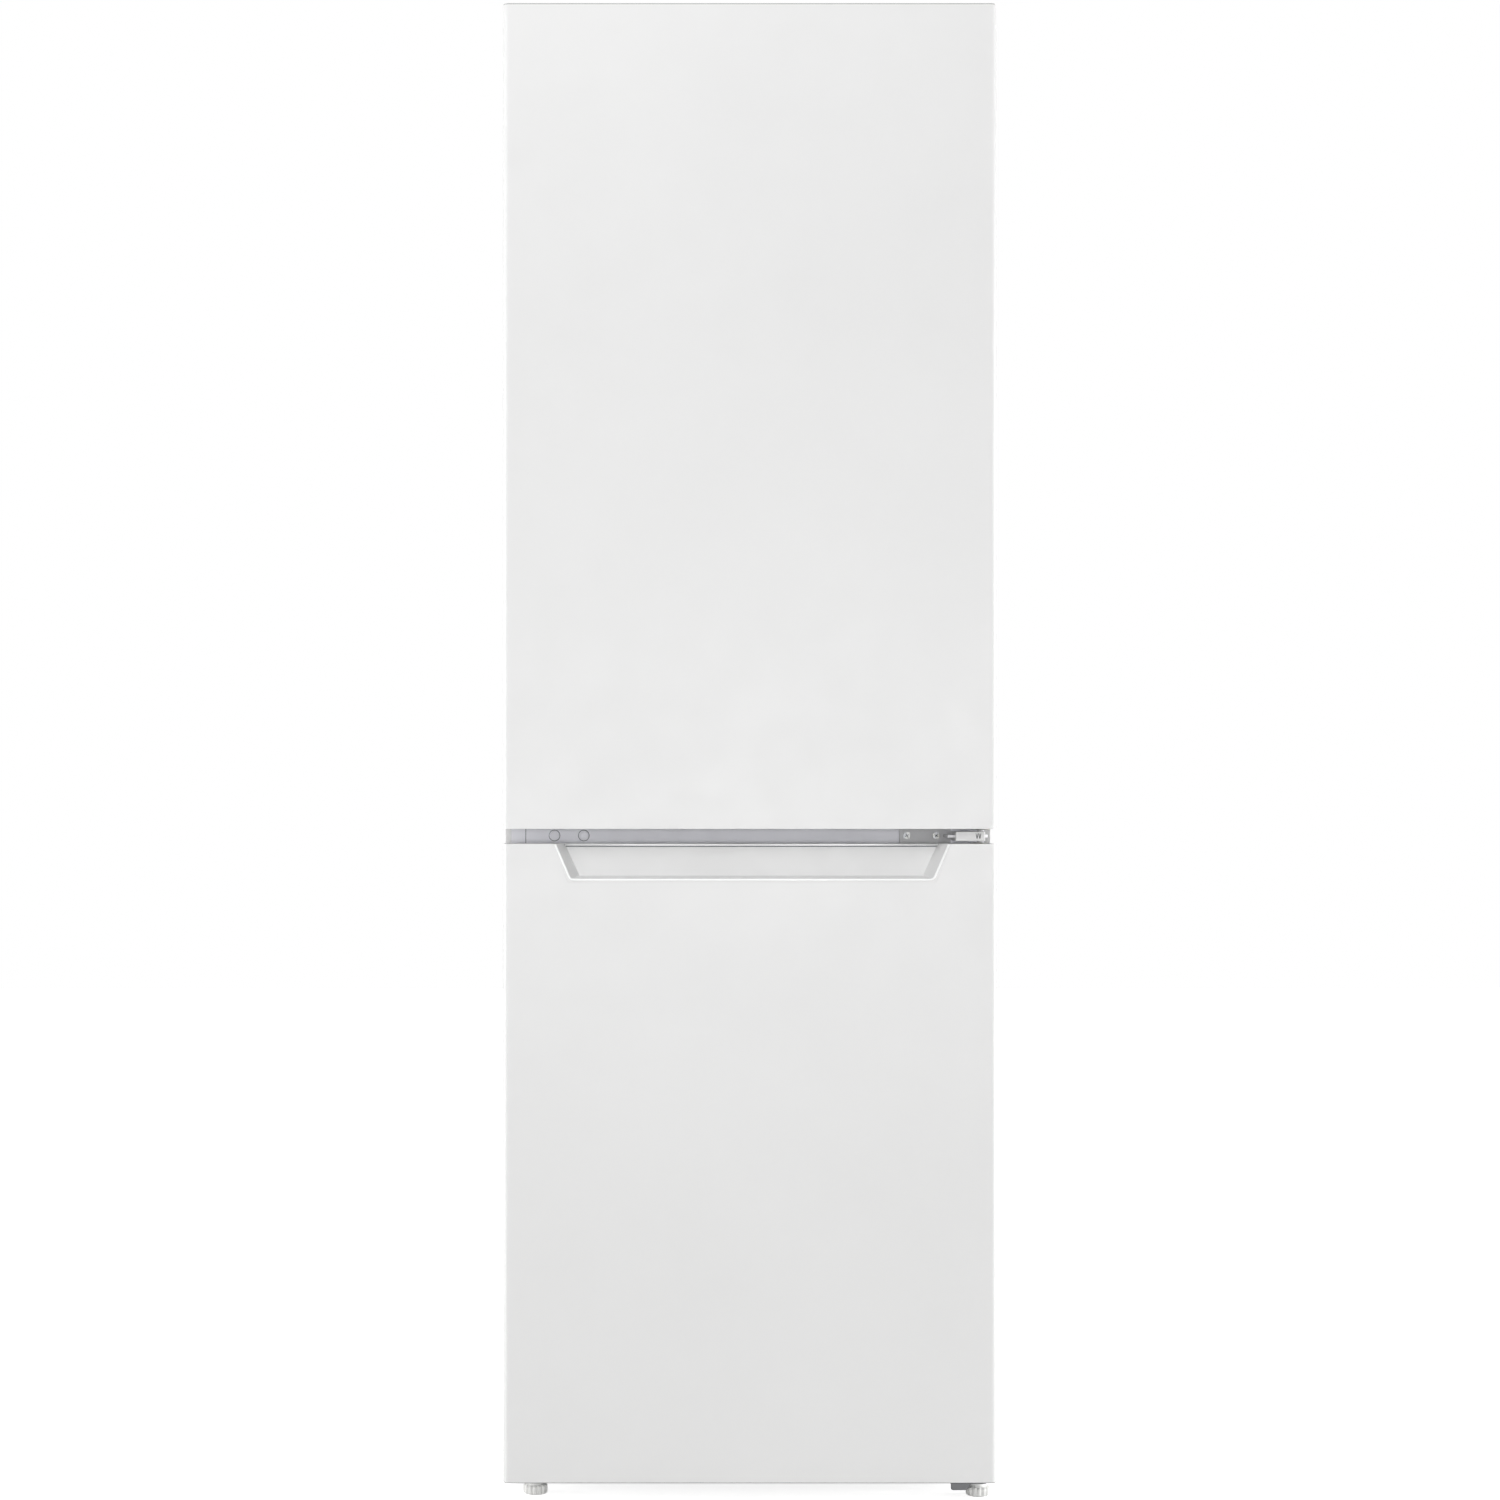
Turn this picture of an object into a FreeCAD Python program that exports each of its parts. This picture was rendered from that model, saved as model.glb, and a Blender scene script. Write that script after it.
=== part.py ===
import FreeCAD, Part
import math
import os
import re
import Sketcher

# Fridge freezer: freezer below, larder above, doors hinged on the right.
# Millimetres. X to the right, -Y to the front, +Z up, origin under the middle of the standing object.

SIZES = [
    # Whole object
    ("wide", 595, "width of cabinet and doors"),
    ("deep", 600, "depth from door face to wall spacers"),
    ("tall", 1806, "floor to top of the upper door"),
    # Doors
    ("door_thick", 62, "thickness of both doors"),
    ("door_lift", 26, "floor to underside of the lower door"),
    ("lower_door_top", 795, "floor to top of the lower door"),
    ("door_gap", 18, "gap between the doors"),
    ("door_corner", 7, "rounding of the upright front edges"),
    ("door_sheet", 0.8, "painted steel skin of the doors"),
    ("cap_tall", 30, "height of the plain end caps"),
    ("hinge_cap_tall", 48, "height of the cap round the top hinge"),
    ("pocket_lip", 3, "cap in front of the top hinge's pocket"),
    ("pocket_gap", 2.5, "top hinge's pocket beside its arm"),
    ("panel_thick", 2, "inner plastic panel of the doors"),
    ("panel_margin", 12, "inner panel in from the door's edge"),
    ("dike_deep", 30, "bead round the larder door's inside, in depth"),
    ("dike_wide", 22, "bead round the larder door's inside, in width"),
    ("dike_inset", 14, "bead in from the cabinet opening"),
    ("plateau_deep", 14, "raised middle of the freezer door's inside"),
    ("plateau_inset", 11, "raised middle in from the cabinet opening"),
    # Door seals
    ("seal_space", 10, "door back to cabinet front"),
    ("seal_wide", 14, "width of the seal"),
    ("seal_inset", 18, "seal in from the door's edge"),
    ("rest_gap", 0.3, "clearance between pieces that rest on each other"),
    # Grip in the lower door
    ("grip_wide", 474, "grip mouth at the door's top"),
    ("grip_low_wide", 437.5, "grip mouth at its lower edge"),
    ("grip_tall", 43, "height of the grip mouth"),
    ("grip_deep", 28, "depth of the grip"),
    ("grip_draft", 10.5, "side draft of the grip over its depth"),
    ("grip_rise", 4, "rise of the grip's floor over its depth"),
    ("grip_shift", 2.5, "grip mouth's middle, right of the door's middle"),
    ("grip_lip", 3, "rounded lip that covers the skin's cut edge"),
    ("grip_hood", 1.5, "overhang at the top of the grip's back"),
    ("grip_hood_tall", 2, "height of that overhang"),
    ("grip_cap_tall", 58, "height of the end cap that holds the grip"),
    # Finger groove under the upper door
    ("groove_wide", 300, "finger groove, in width"),
    ("groove_deep", 20, "finger groove, front to back"),
    ("groove_tall", 16, "finger groove, in height"),
    ("groove_front", 16, "finger groove behind the door's face"),
    # Cabinet
    ("sheet", 1, "steel sheet of the cabinet"),
    ("flange_wide", 7, "front fold of the side panels"),
    ("fold_deep", 12, "rear fold of the side panels"),
    ("top_drop", 24, "cabinet top below the upper door's top"),
    ("top_thick", 12, "plastic top panel"),
    ("rear_space", 32, "room behind the back panel"),
    ("cabinet_lift", 36, "floor to the cabinet's underside"),
    ("larder_wall", 42, "side wall of the larder"),
    ("freezer_wall", 60, "side wall of the freezer"),
    ("roof_wall", 45, "wall above the larder"),
    ("back_wall", 60, "wall behind both compartments"),
    ("floor_wall", 60, "wall under the freezer"),
    ("divider_half", 32.5, "half of the wall between the compartments"),
    ("liner_thick", 1.5, "plastic inner liners"),
    ("niche_deep", 193, "compressor niche, in depth"),
    ("niche_tall", 230, "compressor niche, in height"),
    ("niche_wall", 50, "wall round the compressor niche"),
    ("beam_thick", 12, "crossbar between the compartments"),
    ("cover_thick", 1.2, "strip on the crossbar"),
    ("cover_half", 23, "half height of the strip"),
    ("cover_left", 20, "crossbar's left end to the strip"),
    ("rail_deep", 60, "front rail under the cabinet"),
    ("rail_drop", 6, "front rail below the cabinet"),
    ("plug_radius", 6.25, "head of a blanking plug"),
    ("plug_thick", 1.5, "head of a blanking plug, in height"),
    ("plug_stem", 4, "stem of a blanking plug, radius"),
    ("plug_first", 53, "crossbar's left end to the first plug"),
    ("plug_pitch", 36, "between the two plugs"),
    ("overrun", 2, "how far cutting shapes run past"),
]

doc = FreeCAD.newDocument("fridge_freezer")
sheet = doc.addObject("Spreadsheet::Sheet", "Sizes")
names = set()


def store(sizes):
    """Write named sizes to the sheet, one row each."""
    for alias, value, note in sizes:
        row = len(names) + 1
        sheet.set("A%d" % row, note)
        sheet.set("B%d" % row, str(value))
        sheet.setAlias("B%d" % row, alias)
        names.add(alias)
    doc.recompute()


def bound(rule):
    """The rule with each size's name pointing at the sheet."""
    return re.sub(r"[A-Za-z_]\w*", lambda word: prefixed(word.group(0)), rule)


def prefixed(word):
    return "Sizes." + word if word in names else word


def size(rule):
    """The rule's present value."""
    return float(sheet.evalExpression(bound(rule)))


def bind(piece, field, rule):
    piece.setExpression(field, bound(rule))


def place(piece, corner):
    for axis, rule in zip("xyz", corner):
        bind(piece, "Placement.Base." + axis, rule)


# Shapes


def block(name, low, high):
    """A box between two corners."""
    piece = doc.addObject("Part::Box", name)
    for field, first, last in zip(("Length", "Width", "Height"), low, high):
        bind(piece, field, "(%s) - (%s)" % (last, first))
    place(piece, low)
    return piece


TURNS = {
    "x": FreeCAD.Rotation(FreeCAD.Vector(0, 1, 0), 90),
    "y": FreeCAD.Rotation(FreeCAD.Vector(1, 0, 0), -90),
    "z": FreeCAD.Rotation(),
}


def rod(name, axis, start, length, radius):
    """A cylinder from its start along an axis."""
    piece = doc.addObject("Part::Cylinder", name)
    bind(piece, "Radius", radius)
    bind(piece, "Height", length)
    piece.Placement = FreeCAD.Placement(FreeCAD.Vector(), TURNS[axis])
    place(piece, start)
    return piece


def cone(name, start, length, low_radius, high_radius):
    """An upright cone from its start."""
    piece = doc.addObject("Part::Cone", name)
    bind(piece, "Radius1", low_radius)
    bind(piece, "Radius2", high_radius)
    bind(piece, "Height", length)
    place(piece, start)
    return piece


def fuse(name, pieces):
    if len(pieces) == 1:
        return pieces[0]
    whole = doc.addObject("Part::MultiFuse", name)
    whole.Shapes = pieces
    return whole


def cut(name, base, tools):
    rest = doc.addObject("Part::Cut", name)
    rest.Base = base
    rest.Tool = fuse(name + "_tools", tools)
    return rest


def group(name, pieces):
    """Like pieces that share a name."""
    whole = doc.addObject("Part::Compound", name)
    whole.Links = pieces
    return whole


def outline(body, name, plane, points, offset="0"):
    """A closed sketch on one of the body's own planes, through points given as rules."""
    sketch = body.newObject("Sketcher::SketchObject", name)
    ground = [found for found in body.Origin.OriginFeatures if found.Role == plane + "_Plane"][0]
    sketch.AttachmentSupport = [(ground, "")]
    sketch.MapMode = "FlatFace"
    values = [(size(across), size(up)) for across, up in points]
    for first, last in zip(values, values[1:] + values[:1]):
        sketch.addGeometry(Part.LineSegment(FreeCAD.Vector(*first, 0), FreeCAD.Vector(*last, 0)), False)
    for index, (point, value) in enumerate(zip(points, values)):
        sketch.addConstraint(Sketcher.Constraint("Coincident", index, 2, (index + 1) % len(points), 1))
        for kind, rule, length in zip(("DistanceX", "DistanceY"), point, value):
            number = sketch.addConstraint(Sketcher.Constraint(kind, -1, 1, index, 1, length))
            bind(sketch, "Constraints[%d]" % number, rule)
    bind(sketch, "AttachmentOffset.Base.z", offset)
    return sketch


def pad(name, plane, points, length, offset="0", rounding=None, picks=None):
    """A sketch padded along its plane's normal, with the picked edges rounded."""
    body = doc.addObject("PartDesign::Body", name)
    feature = body.newObject("PartDesign::Pad", name + "_pad")
    feature.Profile = outline(body, name + "_sketch", plane, points, offset)
    bind(feature, "Length", length)
    doc.recompute()
    if rounding:
        rounded = body.newObject("PartDesign::Fillet", name + "_round")
        rounded.Base = (feature, edges(feature.Shape, picks))
        bind(rounded, "Radius", rounding)
        doc.recompute()
    return body


def loft(name, plane, points, far_points, offset, far_offset):
    """A ruled body between two sketches on parallel planes."""
    body = doc.addObject("PartDesign::Body", name)
    near = outline(body, name + "_near", plane, points, offset)
    far = outline(body, name + "_far", plane, far_points, far_offset)
    feature = body.newObject("PartDesign::AdditiveLoft", name + "_loft")
    feature.Profile = near
    feature.Sections = [far]
    feature.Ruled = True
    return body


def edges(shape, picks):
    """Names of the straight edges that a test on their ends picks."""
    found = []
    for number, edge in enumerate(shape.Edges):
        first, last = edge.Vertexes[0].Point, edge.Vertexes[-1].Point
        if picks(first, last):
            found.append("Edge%d" % (number + 1))
    return found


def upright(first, last):
    return abs(first.x - last.x) < EVEN and abs(first.y - last.y) < EVEN


def rounded_block(name, low, high, radius, picks=upright):
    """A box with the picked edges rounded, the upright ones unless told."""
    base = block(name + "_blank", low, high)
    doc.recompute()
    piece = doc.addObject("Part::Fillet", name)
    piece.Base = base
    numbers = [int(found[4:]) for found in edges(base.Shape, picks)]
    piece.Edges = [(number, size(radius), size(radius)) for number in numbers]
    return piece


def pipe(name, points, radius, bend):
    """A round rod along straight runs joined by tangent arcs."""
    corners = [FreeCAD.Vector(*[size(rule) for rule in point]) for point in points]
    reach = size(bend)
    path = []
    last = corners[0]
    for before, corner, after in zip(corners, corners[1:], corners[2:]):
        come = (corner - before).normalize()
        leave = (after - corner).normalize()
        turn = come.getAngle(leave)
        step = reach * math.tan(turn / 2)
        start = corner - come * step
        end = corner + leave * step
        inward = (leave - come).normalize()
        top = corner + inward * (reach / math.cos(turn / 2) - reach)
        if (start - last).Length > EVEN:
            path.append(Part.LineSegment(last, start).toShape())
        path.append(Part.Arc(start, top, end).toShape())
        last = end
    path.append(Part.LineSegment(last, corners[-1]).toShape())
    first = (corners[1] - corners[0]).normalize()
    circle = Part.Wire(Part.Circle(corners[0], first, size(radius)).toShape())
    piece = doc.addObject("Part::Feature", name)
    piece.Shape = Part.Wire(path).makePipeShell([circle], True, False)
    piece.Placement = FreeCAD.Placement()
    return piece


# Two ends count as even within a thousandth part of the steel sheet.
store(SIZES)
EVEN = size("sheet") / 1000

# Places that several pieces share, front to back and floor to top
DOOR_FACE = "(-deep / 2)"
DOOR_BACK = "(door_thick - deep / 2)"
FRONT = "(door_thick + seal_space - deep / 2)"
BACK = "(deep / 2 - rear_space)"
REAR = "(deep / 2)"
EDGE = "(wide / 2)"
TOP = "(tall - top_drop)"
UPPER_LOW = "(lower_door_top + door_gap)"
MIDDLE = "(lower_door_top + door_gap / 2)"
LARDER_HALF = "(wide / 2 - larder_wall)"
FREEZER_HALF = "(wide / 2 - freezer_wall)"
LARDER_FLOOR = "(%s + divider_half)" % MIDDLE
FREEZER_ROOF = "(%s - divider_half)" % MIDDLE
LARDER_ROOF = "(%s - roof_wall)" % TOP
FREEZER_FLOOR = "(cabinet_lift + floor_wall)"
INNER_BACK = "(%s - back_wall)" % BACK
NICHE_FRONT = "(%s - niche_deep)" % BACK
NICHE_TOP = "(cabinet_lift + niche_tall)"
STEP_FRONT = "(%s - niche_wall)" % NICHE_FRONT
STEP_TOP = "(%s + niche_wall)" % NICHE_TOP

# Cabinet shell


def side_panel(name, side):
    """Upright steel sheet, folded in at the front and at the back."""
    inner = "(wide / 2 - sheet)"
    far = "(wide / 2 - flange_wide)"
    points = [
        (EDGE, FRONT),
        (EDGE, BACK),
        ("wide / 2 - fold_deep", BACK),
        ("wide / 2 - fold_deep", "%s - sheet" % BACK),
        (inner, "%s - sheet" % BACK),
        (inner, "%s + sheet" % FRONT),
        (far, "%s + sheet" % FRONT),
        (far, FRONT),
    ]
    points = [("(%s) * %d" % (across, side), along) for across, along in points]
    return pad(name, "XY", points, "%s - top_thick - cabinet_lift" % TOP, "cabinet_lift")


side_panel("side_panel_left", -1)
side_panel("side_panel_right", 1)

back_sheet = block(
    "back_sheet",
    ("fold_deep - wide / 2", "%s - sheet" % BACK, NICHE_TOP),
    ("wide / 2 - fold_deep", BACK, "%s - top_thick" % TOP),
)

# The crossbar sits between the two openings and closes the wall between the compartments.
BEAM_LOW = "(%s + liner_thick)" % FREEZER_ROOF
BEAM_HIGH = "(%s - liner_thick)" % LARDER_FLOOR
SPAN = "(wide / 2 - flange_wide)"
beam_blank = block(
    "beam_blank",
    ("-%s" % SPAN, FRONT, BEAM_LOW),
    (SPAN, "%s + beam_thick" % FRONT, BEAM_HIGH),
)


def at_plug(index):
    return "(plug_first + plug_pitch * %d - %s)" % (index, SPAN)


plug_holes = [
    rod("plug_hole_%d" % index, "y", (at_plug(index), "%s - overrun" % FRONT, MIDDLE), "beam_thick + 2 * overrun",
        "plug_stem + rest_gap")
    for index in range(2)
]
middle_beam = cut("middle_beam", beam_blank, plug_holes)

STRIP_LEFT = "(cover_left - %s)" % SPAN
STRIP_FACE = "(%s - cover_thick)" % FRONT
store([
    ("arm_half", 9, "half width of the hinge arms"),
    ("plate_thick", 3.5, "hinge plates"),
    ("plate_left", 94.4, "hinge line to the middle plate's left end"),
    ("middle_plate_wide", 63, "middle plate on the crossbar"),
    ("hinge_inset", 17.5, "hinge line in from the door's edge"),
    ("hinge_behind", 24, "hinge line behind the door's face"),
])
AXIS_X = "(wide / 2 - hinge_inset)"
AXIS_Y = "(hinge_behind - deep / 2)"
PLATE_LEFT = "(%s - plate_left)" % AXIS_X

strip_blank = block(
    "strip_blank",
    (STRIP_LEFT, STRIP_FACE, "%s - cover_half" % MIDDLE),
    ("%s - rest_gap" % PLATE_LEFT, FRONT, "%s + cover_half" % MIDDLE),
)
strip_holes = [
    rod("strip_hole_%d" % index, "y", (at_plug(index), "%s - overrun" % FRONT, MIDDLE), "2 * overrun",
        "plug_stem + rest_gap")
    for index in range(2)
]
cut("beam_cover", strip_blank, strip_holes)
group("hole_plugs", [
    fuse("plug_%d" % index, [
        rod("plug_head_%d" % index, "y", (at_plug(index), "%s - plug_thick" % STRIP_FACE, MIDDLE), "plug_thick",
            "plug_radius"),
        rod("plug_stem_%d" % index, "y", (at_plug(index), STRIP_FACE, MIDDLE), "cover_thick + beam_thick",
            "plug_stem"),
    ])
    for index in range(2)
])

# Liners: open boxes with a front rim that meets the side panels' folds


def liner_rim(name, half, low, high, hole_low, hole_high):
    frame = block(name + "_sheet", ("-%s" % SPAN, FRONT, low), (SPAN, "%s + liner_thick" % FRONT, high))
    return cut(name, frame, [
        block(name + "_mouth", ("-%s" % half, "%s - overrun" % FRONT, hole_low),
              (half, "%s + liner_thick + overrun" % FRONT, hole_high)),
    ])


larder_out = block(
    "larder_out",
    ("-(%s + liner_thick)" % LARDER_HALF, "%s + liner_thick" % FRONT, "%s - liner_thick" % LARDER_FLOOR),
    ("%s + liner_thick" % LARDER_HALF, "%s + liner_thick" % INNER_BACK, "%s + liner_thick" % LARDER_ROOF),
)
larder_room = block(
    "larder_room",
    ("-%s" % LARDER_HALF, "%s - overrun" % FRONT, LARDER_FLOOR),
    (LARDER_HALF, INNER_BACK, LARDER_ROOF),
)
plain_liner = cut("plain_liner", fuse("larder_shell", [
    liner_rim("larder_rim", LARDER_HALF, BEAM_HIGH, "%s - top_thick" % TOP, LARDER_FLOOR, LARDER_ROOF),
    larder_out,
]), [larder_room])

freezer_out = block(
    "freezer_out",
    ("-(%s + liner_thick)" % FREEZER_HALF, "%s + liner_thick" % FRONT, "%s - liner_thick" % FREEZER_FLOOR),
    ("%s + liner_thick" % FREEZER_HALF, "%s + liner_thick" % INNER_BACK, "%s + liner_thick" % FREEZER_ROOF),
)
step_solid = block(
    "step_solid",
    ("-(%s + liner_thick + overrun)" % FREEZER_HALF, STEP_FRONT, "%s - liner_thick - overrun" % FREEZER_FLOOR),
    ("%s + liner_thick + overrun" % FREEZER_HALF, "%s + liner_thick + overrun" % INNER_BACK, STEP_TOP),
)
freezer_room = block(
    "freezer_room",
    ("-%s" % FREEZER_HALF, "%s - overrun" % FRONT, FREEZER_FLOOR),
    (FREEZER_HALF, INNER_BACK, FREEZER_ROOF),
)
step_cover = block(
    "step_cover",
    ("-(%s + overrun)" % FREEZER_HALF, "%s - liner_thick" % STEP_FRONT, "%s - overrun" % FREEZER_FLOOR),
    ("%s + overrun" % FREEZER_HALF, "%s + overrun" % INNER_BACK, "%s + liner_thick" % STEP_TOP),
)
freezer_hollow = cut("freezer_hollow", freezer_room, [step_cover])
freezer_liner = cut("freezer_liner", fuse("freezer_shell", [
    liner_rim("freezer_rim", FREEZER_HALF, "cabinet_lift", BEAM_LOW, FREEZER_FLOOR, FREEZER_ROOF),
    cut("freezer_out_stepped", freezer_out, [step_solid]),
]), [freezer_hollow])

# Foam fills the walls, in slabs that touch.
FOAM_EDGE = "(wide / 2 - sheet)"
FOAM_FRONT = "(%s + liner_thick)" % FRONT
FOAM_BACK = "(%s - sheet)" % BACK
LARDER_FOAM = "(%s + liner_thick)" % LARDER_HALF
FREEZER_FOAM = "(%s + liner_thick)" % FREEZER_HALF
FOAM_TOP = "(%s - top_thick)" % TOP
store([
    ("cold_half", 180, "half width of the larder's cold plate"),
    ("cold_head", 80.5, "cold plate below the larder's roof"),
    ("cold_tall", 400, "height of the cold plate"),
    ("cold_thick", 1.6, "thickness of the cold plate"),
])
COLD_LOW = ("-cold_half", "%s + liner_thick" % INNER_BACK, "%s - cold_head - cold_tall" % LARDER_ROOF)
COLD_HIGH = ("cold_half", "%s + liner_thick + cold_thick" % INNER_BACK, "%s - cold_head" % LARDER_ROOF)
block("cold_plate", COLD_LOW, COLD_HIGH)


def beam_room(name):
    return block(
        name,
        ("-%s" % SPAN, "%s - overrun" % FRONT, BEAM_LOW),
        (SPAN, "%s + beam_thick" % FRONT, BEAM_HIGH),
    )


def mirrored_slabs(name, inner, low, high):
    left = block(name + "_left", ("-%s" % FOAM_EDGE, FOAM_FRONT, low), ("-%s" % inner, FOAM_BACK, high))
    right = block(name + "_right", (inner, FOAM_FRONT, low), (FOAM_EDGE, FOAM_BACK, high))
    return [left, right]


larder_sides = [
    cut("foam_" + side.Name, side, [beam_room("beam_room_" + side.Name)])
    for side in mirrored_slabs("larder_side", LARDER_FOAM, BEAM_LOW, FOAM_TOP)
]
freezer_sides = mirrored_slabs("freezer_side", FREEZER_FOAM, "cabinet_lift", BEAM_LOW)
insulation = group("insulation", larder_sides + freezer_sides + [
    block("foam_roof", ("-%s" % LARDER_FOAM, FOAM_FRONT, "%s + liner_thick" % LARDER_ROOF),
          (LARDER_FOAM, FOAM_BACK, FOAM_TOP)),
    cut("foam_larder_back", block(
        "larder_back",
        ("-%s" % LARDER_FOAM, "%s + liner_thick" % INNER_BACK, BEAM_HIGH),
        (LARDER_FOAM, FOAM_BACK, "%s + liner_thick" % LARDER_ROOF),
    ), [block("cold_room", COLD_LOW, COLD_HIGH)]),
    block("foam_divider", ("-%s" % LARDER_FOAM, "%s + beam_thick" % FRONT, BEAM_LOW),
          (LARDER_FOAM, FOAM_BACK, BEAM_HIGH)),
    block("foam_freezer_back", ("-%s" % FREEZER_FOAM, "%s + liner_thick" % INNER_BACK, STEP_TOP),
          (FREEZER_FOAM, FOAM_BACK, BEAM_LOW)),
    block("foam_floor", ("-%s" % FREEZER_FOAM, FOAM_FRONT, "cabinet_lift"),
          (FREEZER_FOAM, NICHE_FRONT, "%s - liner_thick" % FREEZER_FLOOR)),
    block("foam_niche_front", ("-%s" % FREEZER_FOAM, STEP_FRONT, "%s - liner_thick" % FREEZER_FLOOR),
          (FREEZER_FOAM, NICHE_FRONT, NICHE_TOP)),
    block("foam_niche_roof", ("-%s" % FREEZER_FOAM, STEP_FRONT, NICHE_TOP),
          (FREEZER_FOAM, FOAM_BACK, STEP_TOP)),
])

# Hinges. All three share one upright line, just inside the doors' right edge.
store([
    ("pin_radius", 4, "hinge pins"),
    ("pin_reach", 14, "pins into the doors"),
    ("turn_gap", 0.05, "pins inside their bushings"),
    ("bushing_radius", 11, "flange of a door bushing"),
    ("bushing_neck", 7, "neck of a door bushing"),
    ("bushing_thick", 1.2, "flange of a door bushing, in height"),
    ("bushing_reach", 16, "neck of a door bushing, in height"),
    ("swing_gap", 0.3, "bushing flange to hinge arm"),
    ("plate_half", 21, "half height of the middle plate"),
    ("screw_radius", 4.5, "screw heads"),
    ("screw_head", 2.2, "height of the screw heads"),
    ("screw_shank", 2, "radius of the screw shanks"),
    ("screw_long", 10, "length of the screw shanks"),
    ("screw_edge", 9, "screws in from the plates' ends"),
    ("screw_pitch", 36, "between the screws of a plate"),
    ("riser_screw_long", 13, "screws through the bottom bracket's spacers"),
    ("hinge_cover_wall", 1.5, "wall of the hinge covers"),
    ("hinge_cover_space", 1, "room between an arm and its cover"),
    ("top_plate_wide", 60, "top bracket, side to side"),
    ("top_plate_deep", 70, "top bracket, front to back"),
    ("top_plate_back", 8, "top bracket behind the cabinet's front"),
    ("top_cover_back", 4, "top cover behind the doors' sweep"),
    ("cover_margin", 6, "top cover past its bracket"),
    ("seat_deep", 1, "recess for the top bracket in the top panel"),
    ("seat_gap", 0.5, "recess round the top cover"),
    ("bottom_plate_wide", 46, "bottom bracket, side to side"),
    ("bottom_plate_deep", 110, "bottom bracket, front to back"),
    ("riser_deep", 14, "spacers on the bottom bracket"),
])

# Cabinet top
SEAT_LOW_X = "(%s + arm_half - top_plate_wide - cover_margin - seat_gap)" % AXIS_X
SEAT_FRONT = "(%s + top_cover_back - seat_gap)" % FRONT
SEAT_BACK = "(%s + top_plate_back + top_plate_deep + cover_margin + seat_gap)" % FRONT
SEAT_TOP = "(%s - seat_deep)" % TOP
top_blank = rounded_block(
    "top_blank",
    ("-%s" % EDGE, FRONT, "%s - top_thick" % TOP),
    (EDGE, BACK, TOP),
    "sheet",
)
cut("top_panel", top_blank, [
    block("top_seat", (SEAT_LOW_X, "%s - overrun" % FRONT, SEAT_TOP),
          ("%s + overrun" % EDGE, SEAT_BACK, "%s + overrun" % TOP)),
])

TOP_PLATE_LEFT = "(%s + arm_half - top_plate_wide)" % AXIS_X
top_hinge = fuse("top_hinge_plain", [
    block("top_plate", (TOP_PLATE_LEFT, "%s + top_plate_back" % FRONT, SEAT_TOP),
          ("%s + arm_half" % AXIS_X, "%s + top_plate_back + top_plate_deep" % FRONT, "%s + plate_thick" % SEAT_TOP)),
    block("top_arm", ("%s - arm_half" % AXIS_X, AXIS_Y, SEAT_TOP),
          ("%s + arm_half" % AXIS_X, "%s + top_plate_back + plate_thick" % FRONT, "%s + plate_thick" % SEAT_TOP)),
    rod("top_arm_end", "z", (AXIS_X, AXIS_Y, SEAT_TOP), "plate_thick", "arm_half"),
    rod("top_pin", "z", (AXIS_X, AXIS_Y, "%s - pin_reach" % SEAT_TOP), "pin_reach + plate_thick", "pin_radius"),
])

COVER_LOW_X = "(%s + seat_gap)" % SEAT_LOW_X
COVER_FRONT = "(%s + seat_gap)" % SEAT_FRONT
COVER_BACK = "(%s - seat_gap)" % SEAT_BACK
COVER_EDGE = "(%s - sheet)" % EDGE
COVER_TOP = "(tall - plate_thick)"
top_cover_solid = rounded_block(
    "top_cover_solid",
    (COVER_LOW_X, COVER_FRONT, SEAT_TOP),
    (COVER_EDGE, COVER_BACK, COVER_TOP),
    "plate_thick",
)
top_cover = cut("top_hinge_cover_shell", top_cover_solid, [
    block("top_cover_room", ("%s + hinge_cover_wall" % COVER_LOW_X, "%s + hinge_cover_wall" % COVER_FRONT,
                             "%s - overrun" % SEAT_TOP),
          ("%s - hinge_cover_wall" % COVER_EDGE, "%s - hinge_cover_wall" % COVER_BACK,
           "%s - hinge_cover_wall" % COVER_TOP)),
    block("top_cover_mouth", ("%s - arm_half - rest_gap" % AXIS_X, "%s - overrun" % COVER_FRONT,
                              "%s - overrun" % SEAT_TOP),
          ("%s + arm_half + rest_gap" % AXIS_X, "%s + hinge_cover_wall + overrun" % COVER_FRONT,
           "%s + plate_thick + rest_gap" % SEAT_TOP)),
])

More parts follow.
